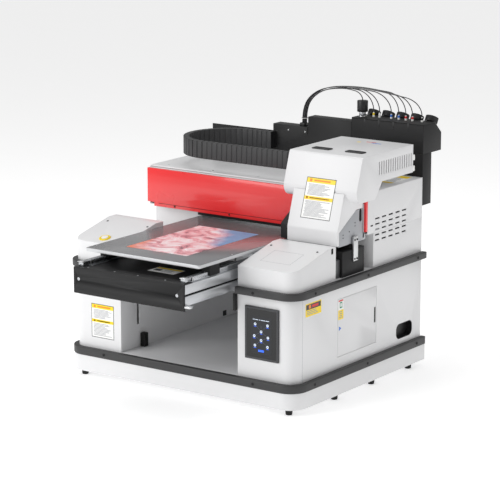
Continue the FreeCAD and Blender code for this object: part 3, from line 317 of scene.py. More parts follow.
def addPrism(name, plane, outline, low, high, material):
    # an outline drawn on one plane and extruded square to it
    spot = {"YZ": lambda u, v, w: at(w, u, v), "XZ": lambda u, v, w: at(u, w, v), "XY": at}[plane]
    bpy.ops.mesh.primitive_circle_add(vertices=len(outline), fill_type="NGON")
    obj = bpy.context.object
    obj.name = name
    for vertex, (u, v) in zip(obj.data.vertices, outline):
        vertex.co = spot(u, v, low)
    editAll()
    bpy.ops.mesh.extrude_region_move(TRANSFORM_OT_translate={"value": spot(0, 0, high) - spot(0, 0, low)})
    bpy.ops.mesh.select_all(action="SELECT")
    bpy.ops.mesh.normals_make_consistent(inside=False)
    switchMode("OBJECT")
    return dress(obj, material)


def roundedRect(u0, v0, u1, v1, radius, steps=6):
    points = []
    for cu, cv, start in ((u1 - radius, v0 + radius, -90), (u1 - radius, v1 - radius, 0),
                          (u0 + radius, v1 - radius, 90), (u0 + radius, v0 + radius, 180)):
        for k in range(steps + 1):
            turn = math.radians(start + 90 * k / steps)
            points.append((cu + radius * math.cos(turn), cv + radius * math.sin(turn)))
    return points


def join(name, pieces):
    pick(pieces[0])
    for piece in pieces[1:]:
        piece.select_set(True)
    if len(pieces) > 1:
        bpy.ops.object.join()
    bpy.context.object.name = name
    return bpy.context.object


def carve(obj, tools, operation="DIFFERENCE"):
    tool = join("tool", tools)
    applyModifier(obj, "BOOLEAN", object=tool, operation=operation, solver="EXACT")
    bpy.data.objects.remove(tool)
    return obj


def copyMesh(obj, name, matrix):
    copy = bpy.data.objects.new(name, obj.data.copy())
    bpy.context.scene.collection.objects.link(copy)
    copy.data.transform(matrix)
    return copy


def refine(node, body, material, width=1.5, segments=2, replaced=True):
    # the CAD shape again, merged and with its folded or moulded edges rounded
    name = "".join(word.title() if k else word for k, word in enumerate(node.split("_")))
    obj = bpy.data.objects.new(name + "Finished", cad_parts[node].data.copy())
    bpy.context.scene.collection.objects.link(obj)
    pick(obj)
    editAll()
    bpy.ops.mesh.remove_doubles(threshold=0.00001)
    bpy.ops.mesh.dissolve_limited(angle_limit=math.radians(1))
    switchMode("OBJECT")
    dress(obj, material)
    if width:
        roundEdges(obj, width, segments)
    if replaced:
        settle(obj, body)
        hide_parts(node)
    return obj


def settle(obj, body):
    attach(obj, body)
    return obj


def screwHeads(name, body, spots, radius, height, material):
    # button heads with a hexagon socket: one is modelled and the rest are copies
    bpy.ops.mesh.primitive_cylinder_add(vertices=24, radius=radius * mm, depth=height * mm,
                                        location=(0, 0, height * mm / 2))
    head = placeMesh(bpy.context.object)
    roundEdges(head, height * 0.45, 3)
    bpy.ops.mesh.primitive_cylinder_add(vertices=6, radius=radius * 0.5 * mm, depth=height * mm,
                                        location=(0, 0, height * mm))
    socket = placeMesh(bpy.context.object)
    carve(head, [socket])
    smooth(head)
    copies = []
    for spot, axis in spots:
        turn = Vector(axis).to_track_quat("Z", "Y").to_matrix().to_4x4()
        copies.append(copyMesh(head, name, Matrix.Translation(at(*spot)) @ turn))
    bpy.data.objects.remove(head)
    return settle(dress(join(name, copies), material), body)


def addSticker(name, body, corner, across, up, layers):
    # layers are (left, low, right, high, material) in mm on the sticker, the later ones on top
    across, up = Vector(across).normalized(), Vector(up).normalized()
    out = across.cross(up)
    turn = Matrix((across, up, out)).transposed().to_4x4()
    film = []
    for k, (u0, v0, u1, v1, material) in enumerate(layers):
        thick = 0.25 + 0.06 * min(k, 3)
        middle = Vector(((u0 + u1) / 2, (v0 + v1) / 2, thick / 2)) * mm
        size = Vector((u1 - u0, v1 - v0, thick)) * mm
        bpy.ops.mesh.primitive_cube_add(size=1, location=middle, scale=size)
        layer = placeMesh(bpy.context.object)
        roundEdges(layer, 0.08, 1)
        layer.data.transform(Matrix.Translation(at(*corner)) @ turn)
        film.append(dress(layer, material))
    return settle(join(name, film), body)


def lines(u0, v0, u1, v1, count, material, seed):
    # ragged bars that stand for small print
    pick = random.Random(seed)
    pitch = (v1 - v0) / count
    rows = []
    for k in range(count):
        start = u0 + (pick.random() * 4 if k % 3 else 0)
        end = u0 + (u1 - u0) * (0.6 + 0.4 * pick.random())
        rows.append((start, v1 - (k + 0.75) * pitch, end, v1 - (k + 0.3) * pitch, material))
    return rows


# ---- camera, light and floor

view = {"place": (5.0214, -7.0269, 2.4356), "azimuth": 35.257, "down": 12.604, "lens": 162.1}


def makeStudio():
    camera = bpy.data.cameras.new("camera")
    camera.lens, camera.sensor_width = view["lens"], 36
    camera.clip_end = 100
    holder = bpy.data.objects.new("camera", camera)
    holder.location = view["place"]
    holder.rotation_euler = (math.radians(90 - view["down"]), 0, math.radians(view["azimuth"]))
    bpy.context.scene.collection.objects.link(holder)
    bpy.context.scene.camera = holder
    world = bpy.data.worlds.new("studio")
    world.use_nodes = True
    world.node_tree.nodes["Background"].inputs[0].default_value = (1, 1, 1, 1)
    world.node_tree.nodes["Background"].inputs[1].default_value = 0.46
    bpy.context.scene.world = world
    bpy.context.scene.view_settings.view_transform = "Standard"
    lamps = [("key", (-2.2, -4.4, 2.6), 3.2, 128), ("side", (4.8, 1.8, 2.2), 2.4, 22),
             ("top", (-0.6, 0.4, 4.4), 3.0, 55)]
    for name, place, size, power in lamps:
        lamp = bpy.data.lights.new(name, "AREA")
        lamp.size, lamp.energy = size, power
        stand = bpy.data.objects.new(name, lamp)
        stand.location = place
        stand.rotation_euler = (Vector((0, 0, 0.5)) - Vector(place)).to_track_quat("-Z", "Y").to_euler()
        bpy.context.scene.collection.objects.link(stand)
    bpy.ops.mesh.primitive_plane_add(size=40, location=(0, 0, 0))
    floor = bpy.context.object
    floor.name = "studioFloor"
    dress(floor, finish("matt white paper", "#F7F7F7", 0.9, 4.0, 0.01, tone=0.005,
                                 Emission_Strength=0.42, Emission_Color=linear("#FFFFFF")))
    print("studio done")


# ---- ink tubes

# The tubes rise from the duct, cross over the rear of the machine and drop to their fittings.
tubeRise = [(493, 950, 918), (493, 950, 946), (495, 951, 980), (506, 953, 1018), (533, 956, 1050),
            (572, 959, 1074), (622, 962, 1088), (684, 965, 1094), (752, 967, 1096), (820, 969, 1092),
            (884, 970, 1085), (940, 971, 1078), (990, 972, 1069)]
tubes = {"drops": [(770, 960, 1046, 8), (814, 975, 1000, 8), (842, 975, 1000, 9), (897, 975, 1000, 9),
                   (932, 975, 1000, 10), (965, 975, 1000, 10), (996, 975, 1000, 11), (1040, 975, 1000, 12)],
         "lanes": (0, 3, 2, 1, 3, 2, 1, 0), "lanePitch": 6.5, "dropSteps": 2.1,
         "dropBend": 1.37, "dropDip": 6, "approachDip": 2, "diameter": 4.0,
         "lengths": (0.3992, 0.4718, 0.5016, 0.5566, 0.6030, 0.6358, 0.6632, 0.7041)}


def tubePoints(number):
    x, y, z, shared = tubes["drops"][number]
    side = (tubes["lanes"][number] - 1.5) * tubes["lanePitch"]
    under = tubes["lanePitch"] if number < 4 else 0
    route = []
    for k in range(shared):
        before, after = tubeRise[max(k - 1, 0)], tubeRise[k + 1]
        reach = math.dist((before[0], before[2]), (after[0], after[2]))
        px, py, pz = tubeRise[k]
        route.append((px + under * (after[2] - before[2]) / reach, py + side,
                      pz - under * (after[0] - before[0]) / reach))
    route[0] = (route[0][0], route[0][1], tubeRise[0][2])
    last = route[-1]
    step = (last[2] - z) / tubes["dropSteps"]
    bend, top = step * tubes["dropBend"], last[2] - tubes["dropDip"]
    if x - bend - last[0] > step * 1.5:
        route.append(((last[0] + x - bend) / 2, last[1], last[2] - tubes["approachDip"]))
    route.append((x - bend, last[1], top))
    route.append((x - step / 2, (last[1] + y) / 2, top - step / 2))
    route.append((x, y, top - bend))
    route.append((x, y, z))
    return [at(*point) for point in route]


def makeTubes():
    for number in range(len(tubes["drops"])):
        points = tubePoints(number)
        curve = bpy.data.curves.new(f"inkTube{number + 1}", "CURVE")
        curve.dimensions = "3D"
        curve.bevel_depth = tubes["diameter"] / 2 * mm
        curve.bevel_resolution = 4
        curve.use_fill_caps = True
        curve.resolution_u = 8
        spline = curve.splines.new("NURBS")
        spline.points.add(len(points) - 1)
        for spot, point in zip(spline.points, points):
            spot.co = (*point, 1)
        spline.order_u = 3
        spline.use_endpoint_u = True
        tube = bpy.data.objects.new(f"inkTube{number + 1}", curve)
        bpy.context.scene.collection.objects.link(tube)
        curve.materials.append(inkTube)
        settle(tube, "stand")
        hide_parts("ink_tubes")
    print("ink tubes done")


# ---- stand and casings

def makeStand():
    refine("base_plinth", "stand", whiteCoat, 2.5, 3)
    refine("left_cabinet", "stand", whiteCoat, 2.0, 3)
    refine("right_cabinet", "stand", whiteCoat, 1.2, 2)
    refine("lower_bumper_strip", "stand", bumperPvc, 3.0, 3)
    refine("upper_bumper_strips", "stand", bumperPvc, 3.0, 3)
    refine("left_front_cover", "stand", whiteCoat, 6.0, 4)
    refine("right_front_cover", "stand", whiteCoat, 6.0, 4)
    refine("side_door", "side_door", whiteCoat, 0.8, 2)
    refine("bay_rear_panel", "stand", whiteCoat, 0.8, 2)
    refine("gantry_risers", "stand", whiteCoat, 1.0, 2)
    refine("red_front_cover", "stand", redGloss, 0.9, 2)
    # Painted shadow: a thin near-black line at the foot of the red lip, where the lip shades the gap below
    # it.
    settle(addBlock("redLipShadowLine", (80, 505.8, 616.8), (1043, 506.4, 618.6), paintedGapShade, 0.05, 1), "stand")
    # Painted shade: a dark sheet behind the red lip, standing for the black gap under it.
    settle(addBlock("lipGapShadeSheet", (262, 527, 588.2), (820, 530, 607), footRubber, 0.5, 2), "stand")
    print("stand done")


foot = {"low": 12.5, "high": 15, "top": 24.6, "stud": 6}


def makeFeet():
    studTop = places("levelling_feet")[1][2]
    spots = [(60, 44)] + [(34, y) for y in (313, 576, 853)]
    spots += [(1100 - x, y) for x, y in spots]
    bpy.ops.mesh.primitive_cone_add(vertices=48, radius1=foot["low"] * mm, radius2=foot["high"] * mm,
                                    depth=foot["top"] * mm, location=(0, 0, foot["top"] / 2 * mm))
    model = placeMesh(bpy.context.object)
    roundEdges(model, 1.8, 3)
    dress(model, footRubber)
    pads = []
    for x, y in spots:
        pads.append(copyMesh(model, "footPad", Matrix.Translation(at(x, y, 0))))
        pads.append(addDisc("footStud", (x, y, foot["top"]), (0, 0, 1), foot["stud"], studTop - foot["top"],
                            zincSteel, 0.5))
    bpy.data.objects.remove(model)
    feet = settle(join("levellingFeetFinished", pads), "stand")
    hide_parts("levelling_feet")


coverNormal = (0, -0.2214, 0.9752)


def slopeHeight(y):  # the front covers' slope
    return 548 + (y - 22) * 52 / 229


def makeScrews():
    spots = []
    for z in (456.5, 106):
        for y in (130, 497, 864):
            spots += [((1100, y, z), (1, 0, 0)), ((0, y, z), (-1, 0, 0))]
        for x in (190, 905):
            spots.append(((x, 0, z), (0, -1, 0)))
    screws = screwHeads("stripScrews", "stand", spots, 6, 1.9, blackOxide)
    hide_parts("casing_screws")
    onCovers = [((x, y, slopeHeight(y)), coverNormal)
                for x, y in ((840, 214), (1050, 214), (50, 210), (250, 210))]
    screwHeads("coverScrews", "stand", onCovers, 4.5, 1.2, blackOxide)
    onLip = [((x, 506, 612), (0, -1, 0)) for x in (161, 434, 707, 980)]
    screwHeads("lipScrews", "stand", onLip, 4, 1.2, blackOxide)
    onTop = [((x, 563, 769), (0, 0, 1)) for x in (90, 313, 536, 760)]
    screwHeads("housingScrews", "stand", onTop, 4, 1.2, zincSteel)
    onPlate = [((x, -282.5, 484), (0, -1, 0)) for x in (305, 767)]
    screwHeads("bedPlateBolts", "bed", onPlate, 6.4, 1.4, groundSteel)
    onFlange = [((x, -264, 529), (0, 0, 1)) for x in (337, 463, 572, 700)]
    screwHeads("bedFlangeScrews", "bed", onFlange, 3.5, 1.0, zincSteel)
    onRails = [((x, y, 546), (0, 0, 1)) for x in (301, 781) for y in range(-212, 860, 80)]
    screwHeads("railBolts", "bed", onRails, 4.5, 0.2, zincSteel)
    onPlaten = [((x, y, 586), (0, 0, 1)) for x in (285, 797) for y in (-150, 20, 190, 360, 530)]
    screwHeads("platenScrews", "platen", onPlaten, 2.6, 0.3, zincSteel)
    onPanel = [((x, 923, 898), (0, -1, 0)) for x in (434, 516)]
    screwHeads("ductScrews", "stand", onPanel, 3.5, 1.0, zincSteel)
    print("screws done")


def makeSideDetails():
    addSticker("sideWarningPlate", "stand", (1078, 95, 368), (0, 1, 0), (0, 0, 1),
               [(0, 0, 106, 50, yellowVinyl), (4, 26, 102, 46, darkInk), (22, 29, 36, 43, orangeInk)]
               + lines(6, 5, 98, 24, 3, greyInk, 3) + [(44, 31, 86, 41, redInk)])
    addSticker("doorLabel", "side_door", (1078, 318, 312), (0, 1, 0), (0, 0, 1),
               [(0, 37, 36, 79, whiteVinyl), (0, 0, 36, 37, yellowVinyl), (10, 44, 27, 68, greenInk),
                (14, 49, 23, 63, whiteVinyl), (2, 70, 34, 76, redInk)] + lines(4, 4, 30, 34, 4, greyInk, 5))
    mark = addPrism("doorMark", "YZ", [(324, 268), (339, 277), (324, 286)], 1078, 1078.4, blueInk)
    settle(roundEdges(mark, 0.1, 1), "side_door")
    settle(addBlock("cabinetSeam", (1077.9, 75.4, 124), (1078.15, 76.6, 441), greyInk, 0.05, 1), "stand")
    backing = [addBlock("strip", low, high, paintedGapShade, 0.1, 1) for low, high in
               (((1071.4, 308, 161), (1073.4, 595, 169)), ((1071.4, 308, 390), (1073.4, 595, 398)),
                ((1071.4, 586, 169), (1073.4, 595, 390)), ((1071.4, 308, 169), (1073.4, 317, 390)))]
    settle(join("doorGapShadow", backing), "stand")
    pull = addBlock("doorPullCup", (1074.4, 573.1, 248.6), (1077.2, 584.9, 310.4), blackAbs, 0.5, 2)
    settle(pull, "side_door")
    # Painted shade: near-black sheets behind the vent openings, where only shade shows through.
    behind = addBlock("ventScreen", (1071, 566, 567), (1073.8, 806, 603), paintedGapShade, 0.1, 1)
    upper = addBlock("ventScreen", (1071, 566, 612), (1073.8, 806, 670), paintedGapShade, 0.1, 1)
    settle(join("ventShadeSheets", [behind, upper]), "stand")
    # Painted shade: a thin near-black sheet on the side panel standing for the shade in a slot.
    slot = addPrism("sideSlot", "YZ", roundedRect(541, 635, 557, 641, 2), 1077.8, 1078.2, paintedGapShade)
    settle(roundEdges(slot, 0.05, 1), "stand")
    mouth = roundedRect(739.4, 142.4, 859.6, 203.6, 23.6)
    liner = addPrism("recessLiner", "YZ", mouth, 1050.4, 1077.6, blackAbs)
    pick(liner)
    switchMode("EDIT")
    bpy.ops.mesh.select_mode(type="FACE")
    bpy.ops.mesh.select_all(action="DESELECT")
    switchMode("OBJECT")
    for face in liner.data.polygons:
        face.select = face.normal.x > 0.9
    switchMode("EDIT")
    bpy.ops.mesh.delete(type="FACE")
    switchMode("OBJECT")
    applyModifier(liner, "SOLIDIFY", thickness=1.2 * mm, offset=-1)
    settle(smooth(liner), "stand")


def makeLeftLabel():
    addSticker("columnLabel", "stand", (114, 22, 166), (1, 0, 0), (0, 0, 1),
               [(0, 0, 112, 136, darkInk), (2.5, 2.5, 109.5, 133.5, whiteVinyl),
                (2.5, 118, 109.5, 133.5, yellowVinyl), (2.5, 62, 109.5, 74, yellowVinyl),
                (12, 120.5, 22, 131, orangeInk), (30, 123, 96, 129, orangeInk),
                (12, 64.5, 20, 71.5, orangeInk), (28, 66, 92, 70, orangeInk)]
               + lines(10, 78, 104, 115, 8, greyInk, 11) + lines(10, 8, 104, 59, 10, greyInk, 12))


def makeCoverDetails():
    normal = Vector(coverNormal)
    up = (0, normal.z, -normal.y)
    corner = (880, 84, slopeHeight(84))
    wide, deep, line = 134, 98, 1.0
    frameLines = [(0, 0, wide, line, greyCoat), (0, deep - line, wide, deep, greyCoat),
                  (0, 0, line, deep, greyCoat), (wide - line, 0, wide, deep, greyCoat)]
    addSticker("coverOutline", "stand", corner, (1, 0, 0), up, frameLines)
    # Painted shade: a thin near-black sheet standing for the shade in the handle slot.
    slot = addPrism("coverHandleSlot", "YZ", roundedRect(266, 576, 279, 598, 4), 1077.8, 1078.3, paintedGapShade)
    settle(roundEdges(slot, 0.1, 1), "stand")
    base = (150, 68, slopeHeight(68))
    bpy.ops.mesh.primitive_torus_add(major_radius=19 * mm, minor_radius=4.4 * mm, major_segments=64,
                                     minor_segments=16, location=at(*base) + normal * 0.4 * mm,
                                     rotation=normal.to_track_quat("Z", "Y").to_euler())
    ring = bpy.context.object
    ring.name = "buttonRing"
    placeMesh(ring)
    settle(smooth(dress(ring, yellowAbs)), "stand")
    refine("power_button", "power_button", buttonWhite, 1.5, 3)


# ---- touch screen

screen = {"columns": (47, 74, 103), "rows": (137, 110, 91, 77, 55), "icon": 5.4,
          "display": (30, 24, 121, 168)}


def makeScreen():
    refine("screen_bezel", "stand", greyAbs, 1.6, 3)
    dress(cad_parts["screen_glass"], screenBlack)
    low = places("screen_bezel")[0]
    glass = places("screen_glass")[0][1]
    u0, v0, u1, v1 = screen["display"]
    shapes = [addBlock("display", (low[0] + u0, glass - 0.1, low[2] + v0), (low[0] + u1, glass, low[2] + v1),
                       displayBlack, 0.03, 1)]
    left, middle, right = screen["columns"]
    rows = screen["rows"]
    spots = [(left, rows[0]), (right, rows[0]), (middle, rows[1]), (left - 4, rows[2]), (right + 2, rows[2]),
             (middle, rows[3]), (left - 1, rows[4]), (right, rows[4])]
    for u, v in spots:
        base = (low[0] + u, glass - 0.1, low[2] + v)
        shapes.append(addDisc("icon", base, (0, -1, 0), screen["icon"], 0.25, iconWhite, 0.1))
        x, z = low[0] + u, low[2] + v
        shapes.append(addBlock("iconMark", (x - 2.2, glass - 0.45, z - 1.2), (x + 2.2, glass - 0.3, z + 2),
                               displayBlack, 0.03, 1))
        shapes.append(addBlock("iconName", (x - 5.5, glass - 0.3, z - 9.6), (x + 5.5, glass - 0.05, z - 7.6),
                               iconBlue, 0.05, 1))
    title = [(36, 46), (48, 60), (64, 70), (73, 92), (94, 110)]
    for start, end in title:
        shapes.append(addBlock("title", (low[0] + start, glass - 0.3, low[2] + 153.4),
                               (low[0] + end, glass - 0.05, low[2] + 155.6), iconWhite, 0.05, 1))
    shapes.append(addBlock("start", (low[0] + 61, glass - 0.3, low[2] + 32),
                           (low[0] + 87, glass - 0.05, low[2] + 40), iconBlue, 0.1, 1))
    joined = [(2, 0), (2, 1), (3, 2), (4, 2), (5, 3), (5, 4), (5, 6), (5, 7)]
    links = [(spots[a], spots[b]) for a, b in joined] + [((middle, 134), (middle, 122))]
    for (startU, startV), (endU, endV) in links:
        run = Vector((endU - startU, 0, endV - startV))
        shapes.append(addDisc("link", (low[0] + startU, glass - 0.1, low[2] + startV), run, 0.35, run.length,
                              iconGrey, 0.05, 8))
    settle(join("screenPicture", shapes), "stand")
    print("screen done")


# ---- gantry housing

def makeHousing():
    housing = refine("gantry_housing", "stand", whiteCoat, 0)
    pick(housing)
    editAll()
    bpy.ops.mesh.bisect(plane_co=at(0, 520, 760), plane_no=(0, -9, 38), use_fill=True, clear_outer=True)
    switchMode("OBJECT")
    roundEdges(housing, 1.0, 2)
    slope = [(520, 756.5), (520, 760), (558, 769), (558, 765.5)]
    strip = addPrism("housingBevel", "YZ", slope, 22, 1078, whiteCoat)
    settle(roundEdges(strip, 0.6, 2), "stand")
    plain = {"gantry_beam": milledAluminium, "x_guide_rails": groundSteel, "x_belt": blackAbs,
             "x_drive_pulley": milledAluminium, "x_idler_pulley": milledAluminium, "frame_motors": blackCoat,
             "electronics_tray": boardGreen, "door_hinge_pins": zincSteel}
    for node, material in plain.items():
        dress(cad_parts[node], material)
    print("housing done")


# ---- print head

hood = {"left": 792, "right": 1124, "lowerLeft": 843, "lowerRight": 1071, "top": 928, "wingLow": 755,
        "wall": 3, "front": 318, "low": 596, "knee": 651, "lean": 0.3226, "back": 772, "rearLow": 818,
        "stepStart": 499, "stepEnd": 547, "wingRadius": 40, "topRadius": 10, "kneeRadius": 30}


def leanY(z, inset=0):
    return hood["front"] + max(0, z - hood["knee"]) * hood["lean"] + inset


def roundCorner(before, corner, after, radius, steps=8):
    # the corner of an outline, replaced by an arc tangent to both sides
    corner = Vector(corner)
    a, b = (Vector(before) - corner).normalized(), (Vector(after) - corner).normalized()
    half = a.angle(b) / 2
    centre = corner + (a + b).normalized() * radius / math.sin(half)
    start, end = corner + a * radius / math.tan(half) - centre, corner + b * radius / math.tan(half) - centre
    sweep = start.angle_signed(end)
    return [tuple(centre + Matrix.Rotation(-sweep * k / steps, 2) @ start) for k in range(steps + 1)]


def upperOutline(inset):
    slant = inset * math.hypot(1, hood["lean"])
    low, top, back = hood["wingLow"] + inset, hood["top"] - inset, hood["back"] - inset
    corner, topCorner = (leanY(low, slant), low), (leanY(top, slant), top)
    points = roundCorner((hood["stepStart"], low), corner, topCorner, hood["wingRadius"] - inset)
    points += roundCorner(corner, topCorner, (back, top), hood["topRadius"] - inset)
    rearLow = hood["rearLow"] + inset
    return points + [(back, top), (back, rearLow), (hood["stepEnd"] - inset / 2, rearLow),
                     (hood["stepStart"] - inset / 2, low)]


def makeHood():
    wall = hood["wall"]
    shell = addPrism("printHeadHood", "YZ", upperOutline(0), hood["left"], hood["right"], whiteCoat)
    front, lean = hood["front"], leanY(790)
    knee = roundCorner((front, hood["low"]), (front, hood["knee"]), (lean, 790), hood["kneeRadius"])
    lower = [(front, hood["low"])] + knee + [(lean, 790), (495, 790), (495, 717), (449, 717), (330, 646),
                                             (330, hood["low"])]
    skirtLeft, skirtRight = hood["lowerLeft"], hood["lowerRight"]
    carve(shell, [addPrism("hoodSkirt", "YZ", lower, skirtLeft, skirtRight, whiteCoat)], "UNION")
    inner = roundCorner((front + wall, 590), (front + wall, hood["knee"]), (lean + wall * 1.06, 790),
                        hood["kneeRadius"] - wall)
    core = [(front + wall, 590)] + inner + [(lean + wall * 1.06, 790), (497, 790), (497, 590)]
    carve(shell, [addPrism("hoodCore", "YZ", core, skirtLeft + wall, skirtRight - wall, whiteCoat)])
    upper = upperOutline(wall)
    carve(shell, [addPrism("hoodCore", "YZ", upper, hood["left"] + wall, hood["right"] - wall, whiteCoat)])
    slots = []
    for k in range(15):
        y = 526 + k * 16.6
        outline = roundedRect(y - 2.6, 844, y + 2.6, 897, 2.4, 3)
        slots.append(addPrism("louvre", "YZ", outline, 1115, 1130, paintedGapShade))
    carve(shell, slots)
    dress(shell, whiteCoat)
    roundEdges(shell, 1.8, 3, 35)
    settle(shell, "head")
    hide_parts("head_hood")
    for k, (x, y) in enumerate(((888, 488), (1036, 494))):
        outline = roundedRect(x - 40, y - 17, x + 40, y + 17, 6)
        base = addPrism(f"hoodHandle{k + 1}", "XY", outline, 928, 932, blackAbs)
        roundEdges(base, 1.0, 2)
        well = addPrism("well", "XY", roundedRect(x - 33, y - 12, x + 33, y + 12, 4), 929, 936, blackAbs)
        carve(base, [well])
        grip = addBlock("grip", (x - 33, y - 4, 928.6), (x + 33, y + 4, 931.6), blackOxide, 1.2, 2)
        settle(join(f"hoodHandle{k + 1}", [base, grip]), "head")
    for k, z in enumerate((832, 875)):
        tab = addBlock(f"hoodTab{k + 1}", (1111, 768, z - 11), (1123.8, 788, z + 11), buttonWhite, 3.0, 3)
        settle(tab, "head")
    addSticker("hoodMark", "head", (914, 692, 928), (1, 0, 0), (0, 1, 0),
               [(0, 0, 14, 12, yellowVinyl), (30, 22, 74, 29, redInk), (62, 10, 104, 17, blueInk)])
    up = Vector((0, hood["lean"], 1))
    addSticker("headLabel", "head", (894, leanY(687), 687), (1, 0, 0), up,
               [(0, 0, 133, 158, darkInk), (2.5, 2.5, 130.5, 155.5, whiteVinyl),
                (2.5, 138, 130.5, 155.5, yellowVinyl), (2.5, 72, 130.5, 86, yellowVinyl),
                (14, 141, 25, 152.5, orangeInk), (34, 144, 108, 150, orangeInk),
                (10, 75, 19, 83.5, orangeInk), (26, 77, 116, 81.5, orangeInk)]
               + lines(12, 90, 122, 134, 10, greyInk, 21) + lines(10, 8, 122, 69, 14, greyInk, 22))
    print("hood done")


def makeHeadInside():
    plates = refine("head_side_plates", "head", greyCoat, 0)
    ovals = [addPrism("oval", "YZ", roundedRect(469, 666, 489, 716, 9.8), 835, 1080, paintedGapShade)]
    carve(plates, ovals)
    roundEdges(plates, 0.5, 2)
    settle(addBlock("sidePlateEdge", (1068.4, 492.8, 620), (1071, 504.6, 732), greyCoat, 0.4, 2), "head")
    spots = ((357, 622), (357, 634), (400, 640), (440, 668), (440, 656))
    holes = [((1071, y, z), (1, 0, 0)) for y, z in spots]
    screwHeads("sidePlateScrews", "head", holes, 2.6, 0.9, blackOxide)
    refine("head_carriage", "head", milledAluminium, 0.8, 2)
    refine("x_bearing_blocks", "head", groundSteel, 0.8, 2)
    refine("print_heads", "head", greyAbs, 1.5, 2)
    refine("uv_lamp", "head", blackCoat, 2.5, 3)
    settle(addBlock("ovalShade", (1064, 469, 664), (1067.6, 489, 718), paintedGapShade, 0.1, 1), "head")
    dampers = []
    for k in range(3):
        x = 883 + k * 50
        for y in (392, 424, 456):
            dampers.append(addBlock("damper", (x + 6, y - 12, 660), (x + 38, y + 12, 704), smokedTank,
                                    2.0, 3))
    settle(join("inkDampers", dampers), "head")


def makeStation():
    station = refine("capping_station", "stand", blackCoat, 1.0, 2)
    station.data.materials.append(zincSteel)
    for face in station.data.polygons:
        if face.center.x > at(1076.4, 0, 0).x:
            face.material_index = 1
    bolts = [((1084, y, z), (1, 0, 0)) for z in (532, 606) for y in (421, 437)]
    screwHeads("bracketBolts", "stand", bolts, 4, 1.6, blackOxide)
    refine("capping_pads", "stand", siliconePad, 1.5, 2)
    refine("waste_tank", "stand", smokedTank, 4.0, 3)


# ---- drag chain

chain = {"pitch": 25.0, "gap": 2.2, "thick": 24, "low": 818, "high": 888}


def makeLink():
    # one link standing on edge at the origin: a core, and a side plate proud of it on each face
    half, tall = chain["thick"] / 2, chain["high"] - chain["low"]
    length = chain["pitch"] - chain["gap"]
    bpy.ops.mesh.primitive_cube_add(size=1, scale=(chain["pitch"] * mm, (2 * half - 3) * mm, (tall - 2) * mm))
    core = placeMesh(bpy.context.object)
    dress(core, blackAbs)
    pieces = [core]
    for out in (-1, 1):
        bpy.ops.mesh.primitive_cube_add(size=1, location=(0, out * (half - 1.5) * mm, 0),
                                        scale=(length * mm, 3 * mm, tall * mm))
        plate = placeMesh(bpy.context.object)
        pieces.append(dress(roundEdges(plate, 0.9, 2), chainNylon))
    for up in (-1, 1):
        bpy.ops.mesh.primitive_cube_add(size=1, location=(0, 0, up * (tall / 2 - 1.25) * mm),
                                        scale=(length * mm, (2 * half - 1) * mm, 2.5 * mm))
        bar = placeMesh(bpy.context.object)
        pieces.append(dress(roundEdges(bar, 0.8, 2), chainNylon))
    return join("chainLink", pieces)


def makeChain():
    link = makeLink()
    middleZ = (chain["low"] + chain["high"]) / 2
    bendX = 278
    near, far = places("chain_moving_run"), places("chain_fixed_run")
    runs = {}
    for name, (low, high) in (("chainNearRun", near), ("chainFarRun", far)):
        y = (low[1] + high[1]) / 2
        count = round((high[0] - low[0]) / chain["pitch"])
        pitch = (high[0] - low[0]) / count
        stretch = Matrix.Diagonal((pitch / chain["pitch"], 1, 1, 1))
        spots = [at(low[0] + (k + 0.5) * pitch, y, middleZ) for k in range(count)]
        links = [copyMesh(link, name, Matrix.Translation(spot) @ stretch) for spot in spots]
        runs[name] = join(name, links)
    low, high = places("chain_bend")
    centreY, radius = (low[1] + high[1]) / 2, (high[1] - low[1]) / 2 - chain["thick"] / 2
    count = round(math.pi * radius / chain["pitch"])
    shrink = math.pi * radius / count / chain["pitch"]
    links = []
    for k in range(count):
        turn = math.radians(90 + 180 * (k + 0.5) / count)
        spot = at(bendX + radius * math.cos(turn), centreY + radius * math.sin(turn), middleZ)
        matrix = Matrix.Translation(spot) @ Matrix.Rotation(turn - math.pi / 2, 4, "Z")
        links.append(copyMesh(link, "chainBend", matrix @ Matrix.Diagonal((shrink, 1, 1, 1))))
    bend = join("chainBendLinks", links)
    bpy.data.objects.remove(link)
    settle(bend, "chain_bend")
    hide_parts("chain_bend")
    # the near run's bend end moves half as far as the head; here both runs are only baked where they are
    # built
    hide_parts("chain_moving_run")
    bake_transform(runs["chainNearRun"])
    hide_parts("chain_fixed_run")
    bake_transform(runs["chainFarRun"])
    print("drag chain done")


# ---- rear panel, ink tanks and caps

tank = {"left": 741, "right": 1078, "top": 976, "lid": 4, "seams": (803, 870, 938, 1007), "lidFront": 923,
        "lidBack": 1017}
fittingColours = [(814, yellowAbs), (842, buttonWhite), (897, blueInk), (932, blueInk), (965, redInk),
                  (996, redInk), (1040, blackAbs)]


